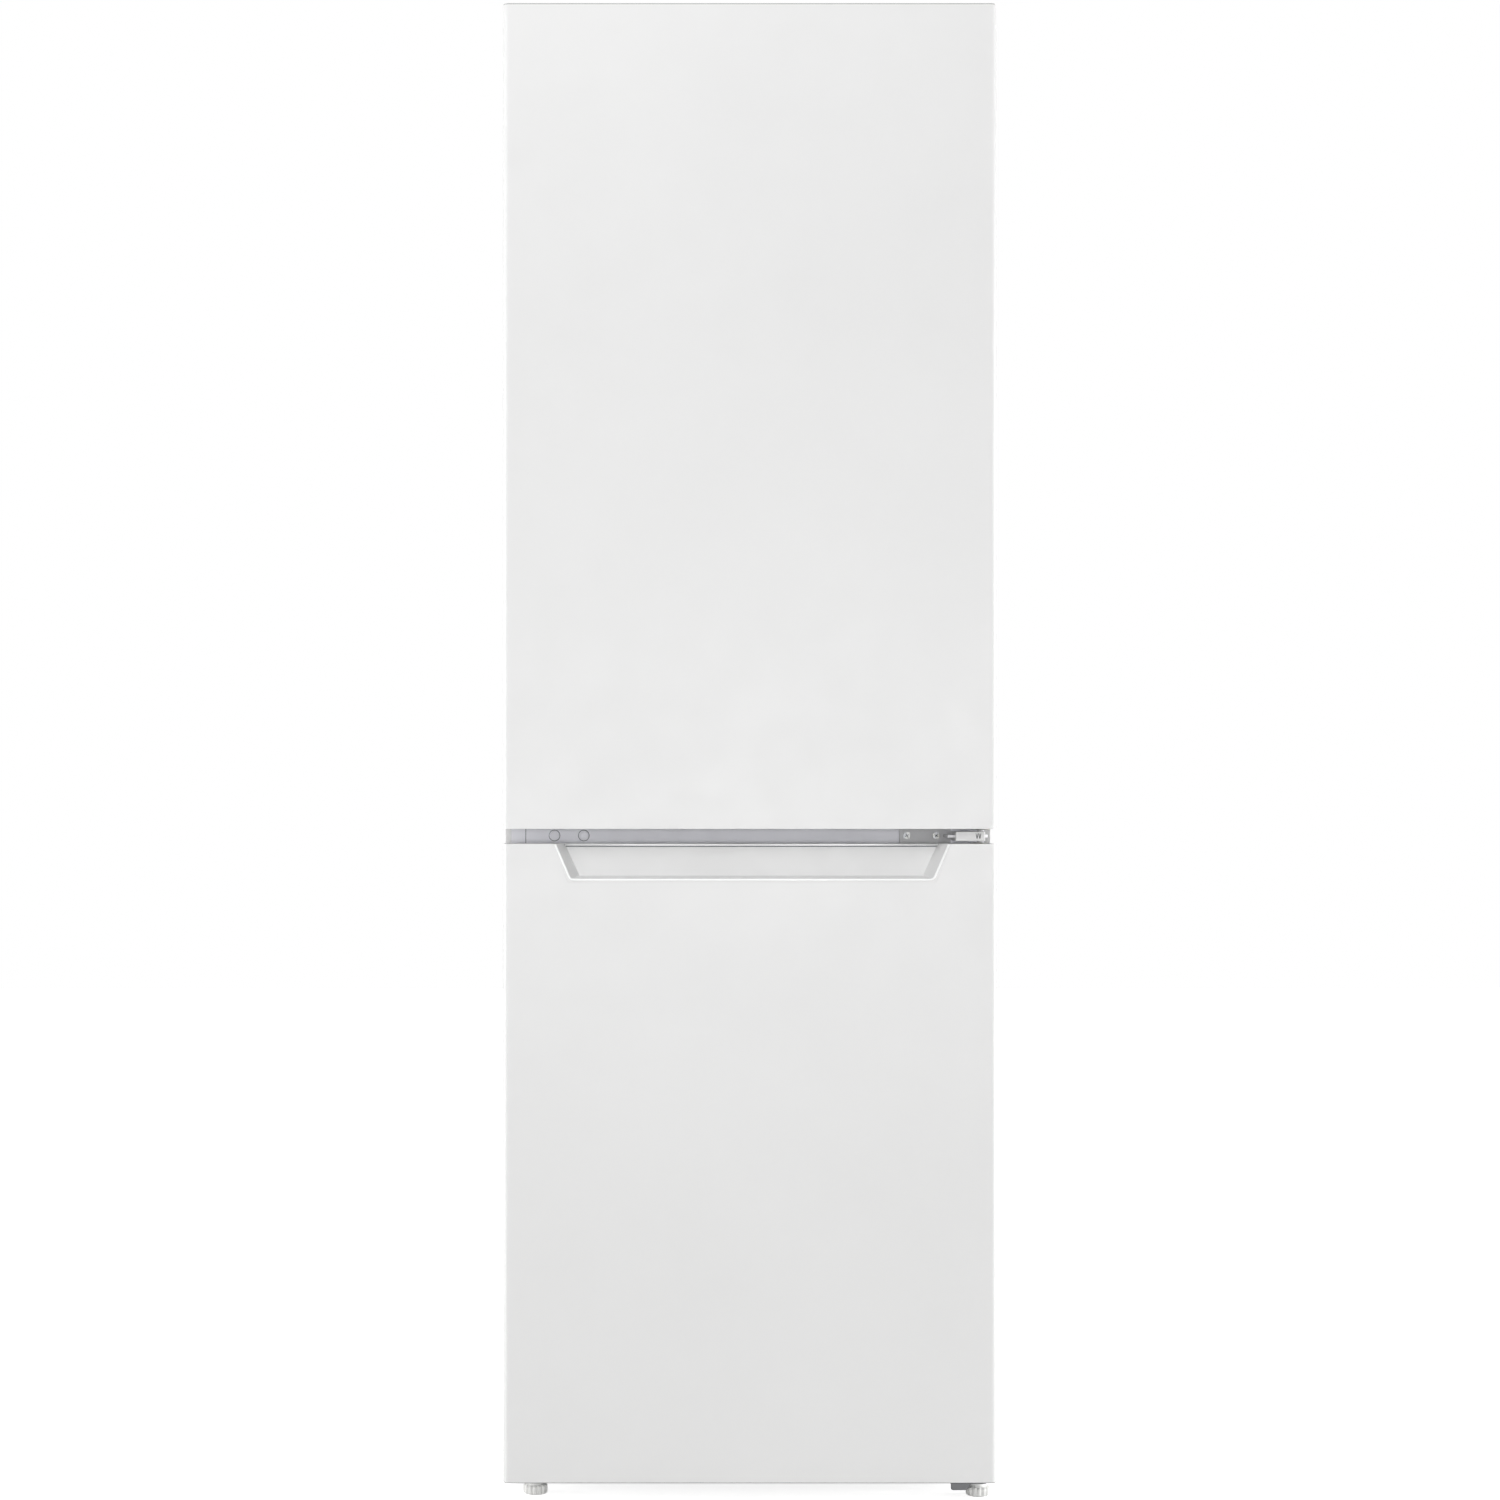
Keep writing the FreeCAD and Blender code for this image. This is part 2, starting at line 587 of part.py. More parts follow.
# Middle hinge: a plate screwed on the crossbar, an arm in the gap and a pin that serves both doors
MIDDLE_FACE = "(%s - plate_thick)" % FRONT
ARM_LOW = "(%s - plate_thick / 2)" % MIDDLE
ARM_HIGH = "(%s + plate_thick / 2)" % MIDDLE
ARM_LEFT = "(%s + middle_plate_wide - arm_half)" % PLATE_LEFT
PIN_DOWN = "(lower_door_top - pin_reach)"
PIN_UP = "(%s + pin_reach)" % UPPER_LOW
middle_hinge = fuse("middle_hinge_plain", [
    block("middle_plate", (PLATE_LEFT, MIDDLE_FACE, "%s - plate_half" % MIDDLE),
          ("%s + middle_plate_wide" % PLATE_LEFT, FRONT, "%s + plate_half" % MIDDLE)),
    pad("middle_arm", "XY", [
        (ARM_LEFT, MIDDLE_FACE),
        (ARM_LEFT, "%s - arm_half" % AXIS_Y),
        (AXIS_X, "%s - arm_half" % AXIS_Y),
        (AXIS_X, "%s + arm_half" % AXIS_Y),
        ("%s + middle_plate_wide" % PLATE_LEFT, MIDDLE_FACE),
    ], "plate_thick", ARM_LOW),
    rod("middle_arm_end", "z", (AXIS_X, AXIS_Y, ARM_LOW), "plate_thick", "arm_half"),
    rod("middle_pin", "z", (AXIS_X, AXIS_Y, PIN_DOWN), "%s - %s" % (PIN_UP, PIN_DOWN), "pin_radius"),
])
store([
    ("middle_cover_reach", 7, "middle cover in front of the hinge line"),
    ("middle_cover_room", 4, "middle cover clear of the hinge line, to the left"),
    ("middle_cover_half", 5.5, "half height of the middle cover"),
])
MIDDLE_COVER_LEFT = "(%s + middle_plate_wide)" % PLATE_LEFT
MIDDLE_COVER_RIGHT = "(%s + middle_cover_room)" % AXIS_X
MIDDLE_COVER_FRONT = "(%s - arm_half - middle_cover_reach)" % AXIS_Y
middle_cover_solid = rounded_block(
    "middle_cover_solid",
    (MIDDLE_COVER_LEFT, MIDDLE_COVER_FRONT, "%s - middle_cover_half" % MIDDLE),
    (MIDDLE_COVER_RIGHT, "%s - 2 * hinge_cover_wall" % MIDDLE_FACE, "%s + middle_cover_half" % MIDDLE),
    "hinge_cover_wall",
)
middle_cover = cut("middle_hinge_cover_shell", middle_cover_solid, [
    block("middle_cover_slot", (
        "%s - overrun" % MIDDLE_COVER_LEFT,
        "%s - arm_half - hinge_cover_space" % AXIS_Y,
        "%s - rest_gap" % ARM_LOW,
    ), ("%s + overrun" % MIDDLE_COVER_RIGHT, "%s + overrun" % MIDDLE_FACE, "%s + rest_gap" % ARM_HIGH)),
    rod("middle_cover_hole", "z", (AXIS_X, AXIS_Y, "%s - middle_cover_half - overrun" % MIDDLE),
        "2 * (middle_cover_half + overrun)", "pin_radius + hinge_cover_space"),
])
hinge_covers = group("hinge_covers", [top_cover, middle_cover])

# Bottom hinge: a plate under the cabinet's front edge, with the right foot's thread in it
BOTTOM_HIGH = "(door_lift - bushing_thick - swing_gap)"
BOTTOM_LOW = "(%s - plate_thick)" % BOTTOM_HIGH
BOTTOM_RIGHT = "(%s + arm_half)" % AXIS_X
BOTTOM_LEFT = "(%s - bottom_plate_wide)" % BOTTOM_RIGHT
store([
    ("foot_radius", 15, "knob of a foot"),
    ("foot_tall", 13.5, "knurled height of the knob"),
    ("foot_bevel", 1.5, "bevelled shoulder of the knob"),
    ("foot_neck", 9.5, "neck of a foot"),
    ("stud_radius", 4, "threaded stud of a foot"),
    ("foot_behind", 50, "right foot behind the door's face"),
    ("left_foot_in", 37, "left foot in from the left side"),
    ("left_foot_behind", 60, "left foot behind the door's face"),
    ("tongue_half", 16, "half width of the rail's tongue for the left foot"),
    ("tongue_back", 30, "rail's tongue behind the cabinet's front"),
])
FOOT_Y = "(foot_behind - deep / 2)"
FOOT_X = AXIS_X
LEFT_FOOT_X = "(left_foot_in - wide / 2)"
LEFT_FOOT_Y = "(left_foot_behind - deep / 2)"
FOOT_TOP = "(foot_tall + foot_bevel)"
bottom_blank = fuse("bottom_blank", [
    pad("bottom_plate", "XY", [
        (BOTTOM_LEFT, "%s - arm_half" % AXIS_Y),
        (AXIS_X, "%s - arm_half" % AXIS_Y),
        (AXIS_X, AXIS_Y),
        (BOTTOM_RIGHT, AXIS_Y),
        (BOTTOM_RIGHT, "%s - arm_half + bottom_plate_deep" % AXIS_Y),
        (BOTTOM_LEFT, "%s - arm_half + bottom_plate_deep" % AXIS_Y),
    ], "plate_thick", BOTTOM_LOW),
    rod("bottom_plate_end", "z", (AXIS_X, AXIS_Y, BOTTOM_LOW), "plate_thick", "arm_half"),
    block("bottom_riser", (BOTTOM_LEFT, "%s - arm_half + bottom_plate_deep - riser_deep" % AXIS_Y, BOTTOM_HIGH),
          (BOTTOM_RIGHT, "%s - arm_half + bottom_plate_deep" % AXIS_Y, "cabinet_lift - rail_drop")),
    block("bottom_riser_front", (BOTTOM_LEFT, "%s + rest_gap" % FRONT, BOTTOM_HIGH),
          (BOTTOM_RIGHT, "%s + rest_gap + riser_deep" % FRONT, "cabinet_lift - rail_drop")),
    rod("bottom_pin", "z", (AXIS_X, AXIS_Y, BOTTOM_LOW), "door_lift + pin_reach - %s" % BOTTOM_LOW, "pin_radius"),
])
bottom_hinge = cut("bottom_hinge_plain", bottom_blank, [
    rod("foot_hole_right", "z", (FOOT_X, FOOT_Y, "%s - overrun" % BOTTOM_LOW), "plate_thick + 2 * overrun",
        "stud_radius + turn_gap"),
])

# Front rail: a folded steel channel under the front edge that takes the left foot
RAIL_BACK = "(%s + rail_deep)" % FRONT
rail_blank = block(
    "rail_blank",
    ("-%s" % FOAM_EDGE, "%s + rest_gap" % FRONT, "cabinet_lift - rail_drop"),
    (FOAM_EDGE, RAIL_BACK, "cabinet_lift - sheet"),
)
RAIL_LOW = "(cabinet_lift - rail_drop)"
TONGUE_LOW = "(%s - 2 * sheet)" % BOTTOM_HIGH
rail = cut("rail_channel", rail_blank, [
    block("rail_room", (
        "sheet - %s" % FOAM_EDGE,
        "%s + rest_gap + sheet" % FRONT,
        "%s + 2 * sheet" % RAIL_LOW,
    ), ("%s - sheet" % FOAM_EDGE, "%s + overrun" % RAIL_BACK, "cabinet_lift")),
])
tongue = [
    block("rail_tongue", ("%s - tongue_half" % LEFT_FOOT_X, "%s - foot_radius" % LEFT_FOOT_Y, TONGUE_LOW),
          ("%s + tongue_half" % LEFT_FOOT_X, "%s + tongue_back" % FRONT, BOTTOM_HIGH)),
    block("tongue_riser", ("%s - tongue_half" % LEFT_FOOT_X, "%s + rest_gap" % FRONT, BOTTOM_HIGH),
          ("%s + tongue_half" % LEFT_FOOT_X, "%s + tongue_back" % FRONT, RAIL_LOW)),
]
cut("bottom_rail", fuse("rail_and_tongue", [rail] + tongue), [
    rod("foot_hole_left", "z", (LEFT_FOOT_X, LEFT_FOOT_Y, "%s - overrun" % TONGUE_LOW), "2 * (sheet + overrun)",
        "stud_radius + turn_gap"),
])


def foot(name, across, along, plate_low):
    """Knurled knob on a stud, turned to level the cabinet."""
    neck_top = "%s - rest_gap" % plate_low
    return fuse(name, [
        rod(name + "_knob", "z", (across, along, "0"), "foot_tall", "foot_radius"),
        cone(name + "_bevel", (across, along, "foot_tall"), "foot_bevel", "foot_radius", "foot_neck"),
        rod(name + "_neck", "z", (across, along, FOOT_TOP), "%s - %s" % (neck_top, FOOT_TOP), "foot_neck"),
        rod(name + "_stud", "z", (across, along, FOOT_TOP), "%s - %s" % (BOTTOM_HIGH, FOOT_TOP), "stud_radius"),
    ])


foot("foot_right", FOOT_X, FOOT_Y, BOTTOM_LOW)
foot("foot_left", LEFT_FOOT_X, LEFT_FOOT_Y, TONGUE_LOW)

# Base plate with folded ears and axles for the two rear rollers
store([
    ("roller_radius", 14.5, "rear rollers"),
    ("roller_wide", 20, "rear rollers, side to side"),
    ("roller_in", 40, "rear rollers in from the sides"),
    ("roller_back", 26, "rear rollers in front of the back panel"),
    ("axle_radius", 3, "roller axles"),
    ("ear_thick", 2, "ears of the rollers"),
    ("ear_half", 8, "half width of an ear"),
])
ROLLER_Y = "(%s - roller_back)" % BACK
BASE_LOW = "(cabinet_lift - sheet)"
base_parts = [
    cut("base_sheet", block("base_blank", ("-%s" % FOAM_EDGE, "%s + liner_thick" % FRONT, BASE_LOW),
                            (FOAM_EDGE, FOAM_BACK, "cabinet_lift")), [
        block("roller_window_%d" % side, (
            "%s * %d - roller_wide / 2 - ear_thick" % ("(wide / 2 - roller_in)", side),
            "%s - roller_radius - overrun" % ROLLER_Y,
            "%s - overrun" % BASE_LOW,
        ), (
            "%s * %d + roller_wide / 2 + ear_thick" % ("(wide / 2 - roller_in)", side),
            "%s + roller_radius + overrun" % ROLLER_Y,
            "cabinet_lift + overrun",
        ))
        for side in (-1, 1)
    ]),
]
for side in (-1, 1):
    middle = "((wide / 2 - roller_in) * %d)" % side
    for hand in (-1, 1):
        near = "(%s + (roller_wide / 2 + rest_gap) * %d)" % (middle, hand)
        far = "(%s + (roller_wide / 2 + rest_gap + ear_thick) * %d)" % (middle, hand)
        low, high = (far, near) if hand < 0 else (near, far)
        base_parts.append(block(
            "ear_%d_%d" % (side + 1, hand + 1),
            (low, "%s - ear_half" % ROLLER_Y, "roller_radius - ear_half"),
            (high, "%s + roller_radius + 2 * overrun" % ROLLER_Y, "cabinet_lift"),
        ))
    base_parts.append(rod(
        "axle_%d" % (side + 1), "x",
        ("%s - roller_wide / 2 - rest_gap - ear_thick" % middle, ROLLER_Y, "roller_radius"),
        "roller_wide + 2 * rest_gap + 2 * ear_thick", "axle_radius",
    ))
base_plate = fuse("base_plate", base_parts)


def roller(name, side):
    start = "(wide / 2 - roller_in) * %d - roller_wide / 2" % side
    return cut(name, rod(name + "_rim", "x", (start, ROLLER_Y, "roller_radius"), "roller_wide", "roller_radius"), [
        rod(name + "_bore", "x", ("%s - overrun" % start, ROLLER_Y, "roller_radius"), "roller_wide + 2 * overrun",
            "axle_radius + turn_gap"),
    ])


roller("roller_left", -1)
roller("roller_right", 1)

# Doors


def front_upright(face):
    return lambda first, last: upright(first, last) and abs(first.y - size(face)) < EVEN


def door_skin(name, low, high, cuts):
    """Painted sheet folded round the front and the sides, with a hem at the back."""
    shell = rounded_block(name + "_out", ("-%s" % EDGE, DOOR_FACE, low), (EDGE, DOOR_BACK, high), "door_corner",
                          front_upright(DOOR_FACE))
    inner_face = "(%s + door_sheet)" % DOOR_FACE
    room = rounded_block(
        name + "_room",
        ("door_sheet - %s" % EDGE, inner_face, "%s - overrun" % low),
        ("%s - door_sheet" % EDGE, "%s - door_sheet" % DOOR_BACK, "%s + overrun" % high),
        "door_corner - door_sheet",
        front_upright(inner_face),
    )
    mouth = block(
        name + "_mouth",
        ("panel_margin - %s" % EDGE, "%s - door_thick / 2" % DOOR_BACK, "%s - overrun" % low),
        ("%s - panel_margin" % EDGE, "%s + overrun" % DOOR_BACK, "%s + overrun" % high),
    )
    return cut(name, shell, [room, mouth] + cuts)


def door_cap(name, low, high, ledge_low, ledge_high, extras, cuts):
    """End cap that fills the skin's end, with a ledge between the hems at the back."""
    inner_face = "(%s + door_sheet)" % DOOR_FACE
    body = rounded_block(
        name + "_block",
        ("door_sheet - %s" % EDGE, inner_face, low),
        ("%s - door_sheet" % EDGE, "%s - panel_thick" % DOOR_BACK, high),
        "door_corner - door_sheet",
        front_upright(inner_face),
    )
    ledge = block(
        name + "_ledge",
        ("panel_margin - %s" % EDGE, "%s - panel_thick" % DOOR_BACK, ledge_low),
        ("%s - panel_margin" % EDGE, DOOR_BACK, ledge_high),
    )
    return cut(name, fuse(name + "_whole", [body, ledge] + extras), cuts)


def door_foam(name, low, high):
    inner_face = "(%s + door_sheet)" % DOOR_FACE
    return rounded_block(
        name,
        ("door_sheet - %s" % EDGE, inner_face, low),
        ("%s - door_sheet" % EDGE, "%s - panel_thick" % DOOR_BACK, high),
        "door_corner - door_sheet",
        front_upright(inner_face),
    )


def ring(name, half_out, low_out, high_out, width, front, back):
    """Upright rectangular frame of one width."""
    return cut(name, block(name + "_out", ("-%s" % half_out, front, low_out), (half_out, back, high_out)), [
        block(name + "_in", ("%s - %s" % (width, half_out), "%s - overrun" % front, "%s + %s" % (low_out, width)),
              ("%s - %s" % (half_out, width), "%s + overrun" % back, "%s - %s" % (high_out, width))),
    ])


def bushing(name, flange_low, flange_high, neck_low, neck_high):
    """Flanged sleeve for a hinge pin, flange outside the door and neck inside."""
    low = "(%s)" % (neck_low if size(neck_low) < size(flange_low) else flange_low)
    high = "(%s)" % (neck_high if size(neck_high) > size(flange_high) else flange_high)
    return cut(name, fuse(name + "_whole", [
        rod(name + "_flange", "z", (AXIS_X, AXIS_Y, flange_low), "(%s) - (%s)" % (flange_high, flange_low),
            "bushing_radius"),
        rod(name + "_neck", "z", (AXIS_X, AXIS_Y, neck_low), "(%s) - (%s)" % (neck_high, neck_low), "bushing_neck"),
    ]), [rod(name + "_bore", "z", (AXIS_X, AXIS_Y, "%s - overrun" % low), "%s - %s + 2 * overrun" % (high, low),
             "pin_radius + turn_gap")])


def neck_room(name, low, high):
    return rod(name, "z", (AXIS_X, AXIS_Y, low), "(%s) - (%s)" % (high, low), "bushing_neck")


# Larder door
POCKET_FLOOR = "(%s - bushing_thick - swing_gap)" % SEAT_TOP


def pocket(name):
    return block(
        name,
        ("%s - arm_half - pocket_gap" % AXIS_X, "%s + pocket_lip" % DOOR_FACE, POCKET_FLOOR),
        ("%s + overrun" % EDGE, "%s + overrun" % DOOR_BACK, "tall + overrun"),
    )


UPPER_PANEL_LOW = "(%s + panel_margin)" % UPPER_LOW
UPPER_PANEL_HIGH = "(%s - panel_margin)" % TOP
door_skin("upper_door_skin", UPPER_LOW, "tall", [pocket("skin_pocket")])
door_cap("upper_door_top_cap", "tall - hinge_cap_tall", "tall", UPPER_PANEL_HIGH, "tall", [], [
    pocket("cap_pocket"),
    neck_room("top_neck_room", "%s - bushing_reach" % POCKET_FLOOR, "%s + overrun" % POCKET_FLOOR),
])
door_cap("upper_door_bottom_cap", UPPER_LOW, "%s + cap_tall" % UPPER_LOW, UPPER_LOW, UPPER_PANEL_LOW, [], [
    block("finger_groove", ("-groove_wide / 2", "%s + groove_front" % DOOR_FACE, "%s - overrun" % UPPER_LOW),
          ("groove_wide / 2", "%s + groove_front + groove_deep" % DOOR_FACE, "%s + groove_tall" % UPPER_LOW)),
    neck_room("upper_neck_room", "%s - overrun" % UPPER_LOW, "%s + bushing_reach" % UPPER_LOW),
])
door_foam("upper_door_foam", "%s + cap_tall" % UPPER_LOW, "tall - hinge_cap_tall")
DIKE_HALF = "(%s - dike_inset)" % LARDER_HALF
DIKE_BACK = "(%s + dike_deep)" % DOOR_BACK
DIKE_LOW = "(%s + dike_inset)" % LARDER_FLOOR
DIKE_HIGH = "(%s - dike_inset)" % LARDER_ROOF
upper_panel = block(
    "upper_panel_sheet",
    ("panel_margin - %s" % EDGE, "%s - panel_thick" % DOOR_BACK, UPPER_PANEL_LOW),
    ("%s - panel_margin" % EDGE, DOOR_BACK, UPPER_PANEL_HIGH),
)
fuse("upper_door_panel", [
    upper_panel,
    ring("dike", DIKE_HALF, DIKE_LOW, DIKE_HIGH, "dike_wide", DOOR_BACK, DIKE_BACK),
])
ring("upper_door_seal", "(%s - seal_inset)" % EDGE, "(%s + seal_inset)" % UPPER_LOW, "(%s - seal_inset)" % TOP,
     "seal_wide", DOOR_BACK, "(%s - rest_gap)" % FRONT)
group("upper_door_bushings", [
    bushing("top_bushing", POCKET_FLOOR, "%s + bushing_thick" % POCKET_FLOOR, "%s - bushing_reach" % POCKET_FLOOR,
            POCKET_FLOOR),
    bushing("upper_bushing", "%s - bushing_thick" % UPPER_LOW, UPPER_LOW, UPPER_LOW,
            "%s + bushing_reach" % UPPER_LOW),
])

# Freezer door, with the grip notch in its top edge, open to the front and upwards


def trapezoid(top_half, low_half, low, high):
    return [
        ("grip_shift - %s" % low_half, low),
        ("grip_shift + %s" % low_half, low),
        ("grip_shift + %s" % top_half, high),
        ("grip_shift - %s" % top_half, high),
    ]


GRIP_LOW = "(lower_door_top - grip_tall)"
GRIP_BACK = "(%s + grip_deep)" % DOOR_FACE
LIP_POINTS = trapezoid("(grip_wide / 2 + grip_lip)", "(grip_low_wide / 2 + grip_lip)", "%s - grip_lip" % GRIP_LOW,
                       "lower_door_top")
grip_notch = cut("grip_notch", loft(
    "grip_loft", "XZ",
    trapezoid("(grip_wide / 2)", "(grip_low_wide / 2)", GRIP_LOW, "lower_door_top"),
    trapezoid("(grip_wide / 2 - grip_draft)", "(grip_low_wide / 2 - grip_draft)", "%s + grip_rise" % GRIP_LOW,
              "lower_door_top"),
    "-%s" % DOOR_FACE, "-%s" % GRIP_BACK,
), [
    block("grip_hood", ("-%s" % EDGE, "%s - grip_hood" % GRIP_BACK, "lower_door_top - grip_hood_tall"),
          (EDGE, "%s + overrun" % GRIP_BACK, "lower_door_top + overrun")),
])
door_skin("lower_door_skin", "door_lift", "lower_door_top", [
    pad("grip_window", "XZ", LIP_POINTS, "overrun + door_sheet", "-(%s + door_sheet)" % DOOR_FACE),
])
LOWER_PANEL_LOW = "(cabinet_lift + panel_margin)"
LOWER_PANEL_HIGH = "(lower_door_top - panel_margin)"
door_cap("lower_door_top_cap", "lower_door_top - grip_cap_tall", "lower_door_top", LOWER_PANEL_HIGH,
         "lower_door_top", [pad("grip_frame", "XZ", LIP_POINTS, "door_sheet", "-(%s + door_sheet)" % DOOR_FACE)], [
    grip_notch,
    neck_room("lower_neck_room", "lower_door_top - bushing_reach", "lower_door_top + overrun"),
])
door_cap("lower_door_bottom_cap", "door_lift", "door_lift + cap_tall", "door_lift", LOWER_PANEL_LOW, [], [
    neck_room("bottom_neck_room", "door_lift - overrun", "door_lift + bushing_reach"),
])
door_foam("lower_door_foam", "door_lift + cap_tall", "lower_door_top - grip_cap_tall")
PLATEAU_HALF = "(%s - plateau_inset)" % FREEZER_HALF
PLATEAU_BACK = "(%s + plateau_deep)" % DOOR_BACK
fuse("lower_door_panel", [
    block("lower_panel_sheet", ("panel_margin - %s" % EDGE, "%s - panel_thick" % DOOR_BACK, LOWER_PANEL_LOW),
          ("%s - panel_margin" % EDGE, DOOR_BACK, LOWER_PANEL_HIGH)),
    rounded_block("plateau", ("-%s" % PLATEAU_HALF, DOOR_BACK, "%s + plateau_inset" % FREEZER_FLOOR),
                  (PLATEAU_HALF, PLATEAU_BACK, "%s - plateau_inset" % FREEZER_ROOF), "dike_wide",
                  lambda first, last: abs(first.x - last.x) < EVEN and abs(first.z - last.z) < EVEN),
])
ring("lower_door_seal", "(%s - seal_inset)" % EDGE, "(cabinet_lift + seal_inset)", "(lower_door_top - seal_inset)",
     "seal_wide", DOOR_BACK, "(%s - rest_gap)" % FRONT)
group("lower_door_bushings", [
    bushing("lower_bushing", "lower_door_top", "lower_door_top + bushing_thick", "lower_door_top - bushing_reach",
            "lower_door_top"),
    bushing("bottom_bushing", "door_lift - bushing_thick", "door_lift", "door_lift", "door_lift + bushing_reach"),
])

# Larder
store([
    ("glass_thick", 4, "shelf glass"),
    ("shelf_front", 110, "shelves behind the cabinet's front"),
    ("shelf_side", 1.5, "shelves beside the liner"),
    ("shelf_back", 6, "shelves in front of the liner's back"),
    ("shelf_head", 180.5, "top shelf to the larder's roof"),
    ("trim_front", 6, "shelf trim in front of the glass"),
    ("trim_grip", 10, "shelf trim over the glass"),
    ("trim_wall", 2, "wall of the shelf trims"),
    ("trim_rise", 12, "upstand of the rear trims"),
    ("rib_wide", 8, "liner ribs under the shelves, in width"),
    ("rib_tall", 6, "liner ribs under the shelves, in height"),
    ("crisper_side", 19.5, "crisper beside the liner's wall"),
    ("crisper_tall", 170, "height of the crisper"),
    ("crisper_front", 103, "crisper behind the cabinet's front"),
    ("crisper_back", 14, "crisper in front of the liner's back"),
    ("crisper_wall", 2.2, "walls of the crisper"),
    ("crisper_corner", 12, "upright corners of the crisper"),
    ("crisper_gap", 6, "crisper below its glass cover"),
    ("crisper_grip_half", 90, "half width of the crisper's grip"),
    ("crisper_grip_deep", 8, "grip in front of the crisper"),
    ("crisper_grip_tall", 14, "height of the crisper's grip"),
])
SHELF_FRONT = "(%s + shelf_front)" % FRONT
SHELF_BACK = "(%s - shelf_back)" % INNER_BACK
SHELF_HALF = "(%s - shelf_side)" % LARDER_HALF
COVER_LEVEL = "(%s + rest_gap + crisper_tall + crisper_gap)" % LARDER_FLOOR
SHELF_RISE = "(%s - shelf_head - %s)" % (LARDER_ROOF, COVER_LEVEL)
levels = ["(%s + %s * %d / 3)" % (COVER_LEVEL, SHELF_RISE, index) for index in range(4)]


def glass(name, level):
    return block(name, ("-%s" % SHELF_HALF, SHELF_FRONT, level),
                 (SHELF_HALF, SHELF_BACK, "%s + glass_thick" % level))


def trims(name, level):
    """Front and rear trims that clasp the glass."""
    front = block(name + "_front", ("-%s" % SHELF_HALF, "%s - trim_front" % SHELF_FRONT, "%s - trim_wall" % level),
                  (SHELF_HALF, "%s + trim_grip" % SHELF_FRONT, "%s + glass_thick + trim_wall" % level))
    rear = fuse(name + "_rear", [
        block(name + "_clasp", ("-%s" % SHELF_HALF, "%s - trim_grip" % SHELF_BACK, "%s - trim_wall" % level),
              (SHELF_HALF, "%s + trim_wall" % SHELF_BACK, "%s + glass_thick + trim_wall" % level)),
        block(name + "_upstand", ("-%s" % SHELF_HALF, SHELF_BACK, level),
              (SHELF_HALF, "%s + trim_wall" % SHELF_BACK, "%s + glass_thick + trim_rise" % level)),
    ])
    return [cut(name + "_front_trim", front, [glass(name + "_front_slot", level)]),
            cut(name + "_rear_trim", rear, [glass(name + "_rear_slot", level)])]


group("glass_shelves", [glass("glass_%d" % index, level) for index, level in enumerate(levels)])
shelf_trims = []
ribs = []
for index, level in enumerate(levels):
    shelf_trims += trims("shelf_%d" % index, level)
    rib_top = "(%s - trim_wall - rest_gap)" % level
    for side, hand in (("left", "-1"), ("right", "1")):
        near, far = "(%s * %s)" % (LARDER_HALF, hand), "((%s - rib_wide) * %s)" % (LARDER_HALF, hand)
        low, high = (near, far) if side == "left" else (far, near)
        ribs.append(block("rib_%s_%d" % (side, index), (low, "%s - trim_front" % SHELF_FRONT,
                                                        "%s - rib_tall" % rib_top), (high, INNER_BACK, rib_top)))
group("shelf_trims", shelf_trims)
fuse("fridge_liner", [plain_liner] + ribs)

CRISPER_FRONT = "(%s + crisper_front)" % FRONT
CRISPER_LOW = "(%s + rest_gap)" % LARDER_FLOOR
CRISPER_HIGH = "(%s + crisper_tall)" % CRISPER_LOW
CRISPER_HALF = "(%s - crisper_side)" % LARDER_HALF


def tray(name, low, high, wall, corner, front_wall=None):
    """Open box with rounded upright corners."""
    front_wall = front_wall or wall
    outside = rounded_block(name + "_out", low, high, corner)
    inside = rounded_block(
        name + "_in",
        ("%s + %s" % (low[0], wall), "%s + %s" % (low[1], front_wall), "%s + %s" % (low[2], wall)),
        ("%s - %s" % (high[0], wall), "%s - %s" % (high[1], wall), "%s + overrun" % high[2]),
        "%s - %s" % (corner, wall),
    )
    return cut(name, outside, [inside])


fuse("crisper", [
    tray("crisper_tray", ("-%s" % CRISPER_HALF, CRISPER_FRONT, CRISPER_LOW),
         (CRISPER_HALF, "%s - crisper_back" % INNER_BACK, CRISPER_HIGH), "crisper_wall", "crisper_corner"),
    block("crisper_grip", ("-crisper_grip_half", "%s - crisper_grip_deep" % CRISPER_FRONT,
                           "%s - crisper_grip_tall" % CRISPER_HIGH),
          ("crisper_grip_half", CRISPER_FRONT, "%s - crisper_grip_tall + crisper_wall" % CRISPER_HIGH)),
    block("crisper_grip_edge", ("-crisper_grip_half", "%s - crisper_grip_deep" % CRISPER_FRONT,
                                "%s - 2 * crisper_grip_tall" % CRISPER_HIGH),
          ("crisper_grip_half", "%s - crisper_grip_deep + crisper_wall" % CRISPER_FRONT,
           "%s - crisper_grip_tall" % CRISPER_HIGH)),
])

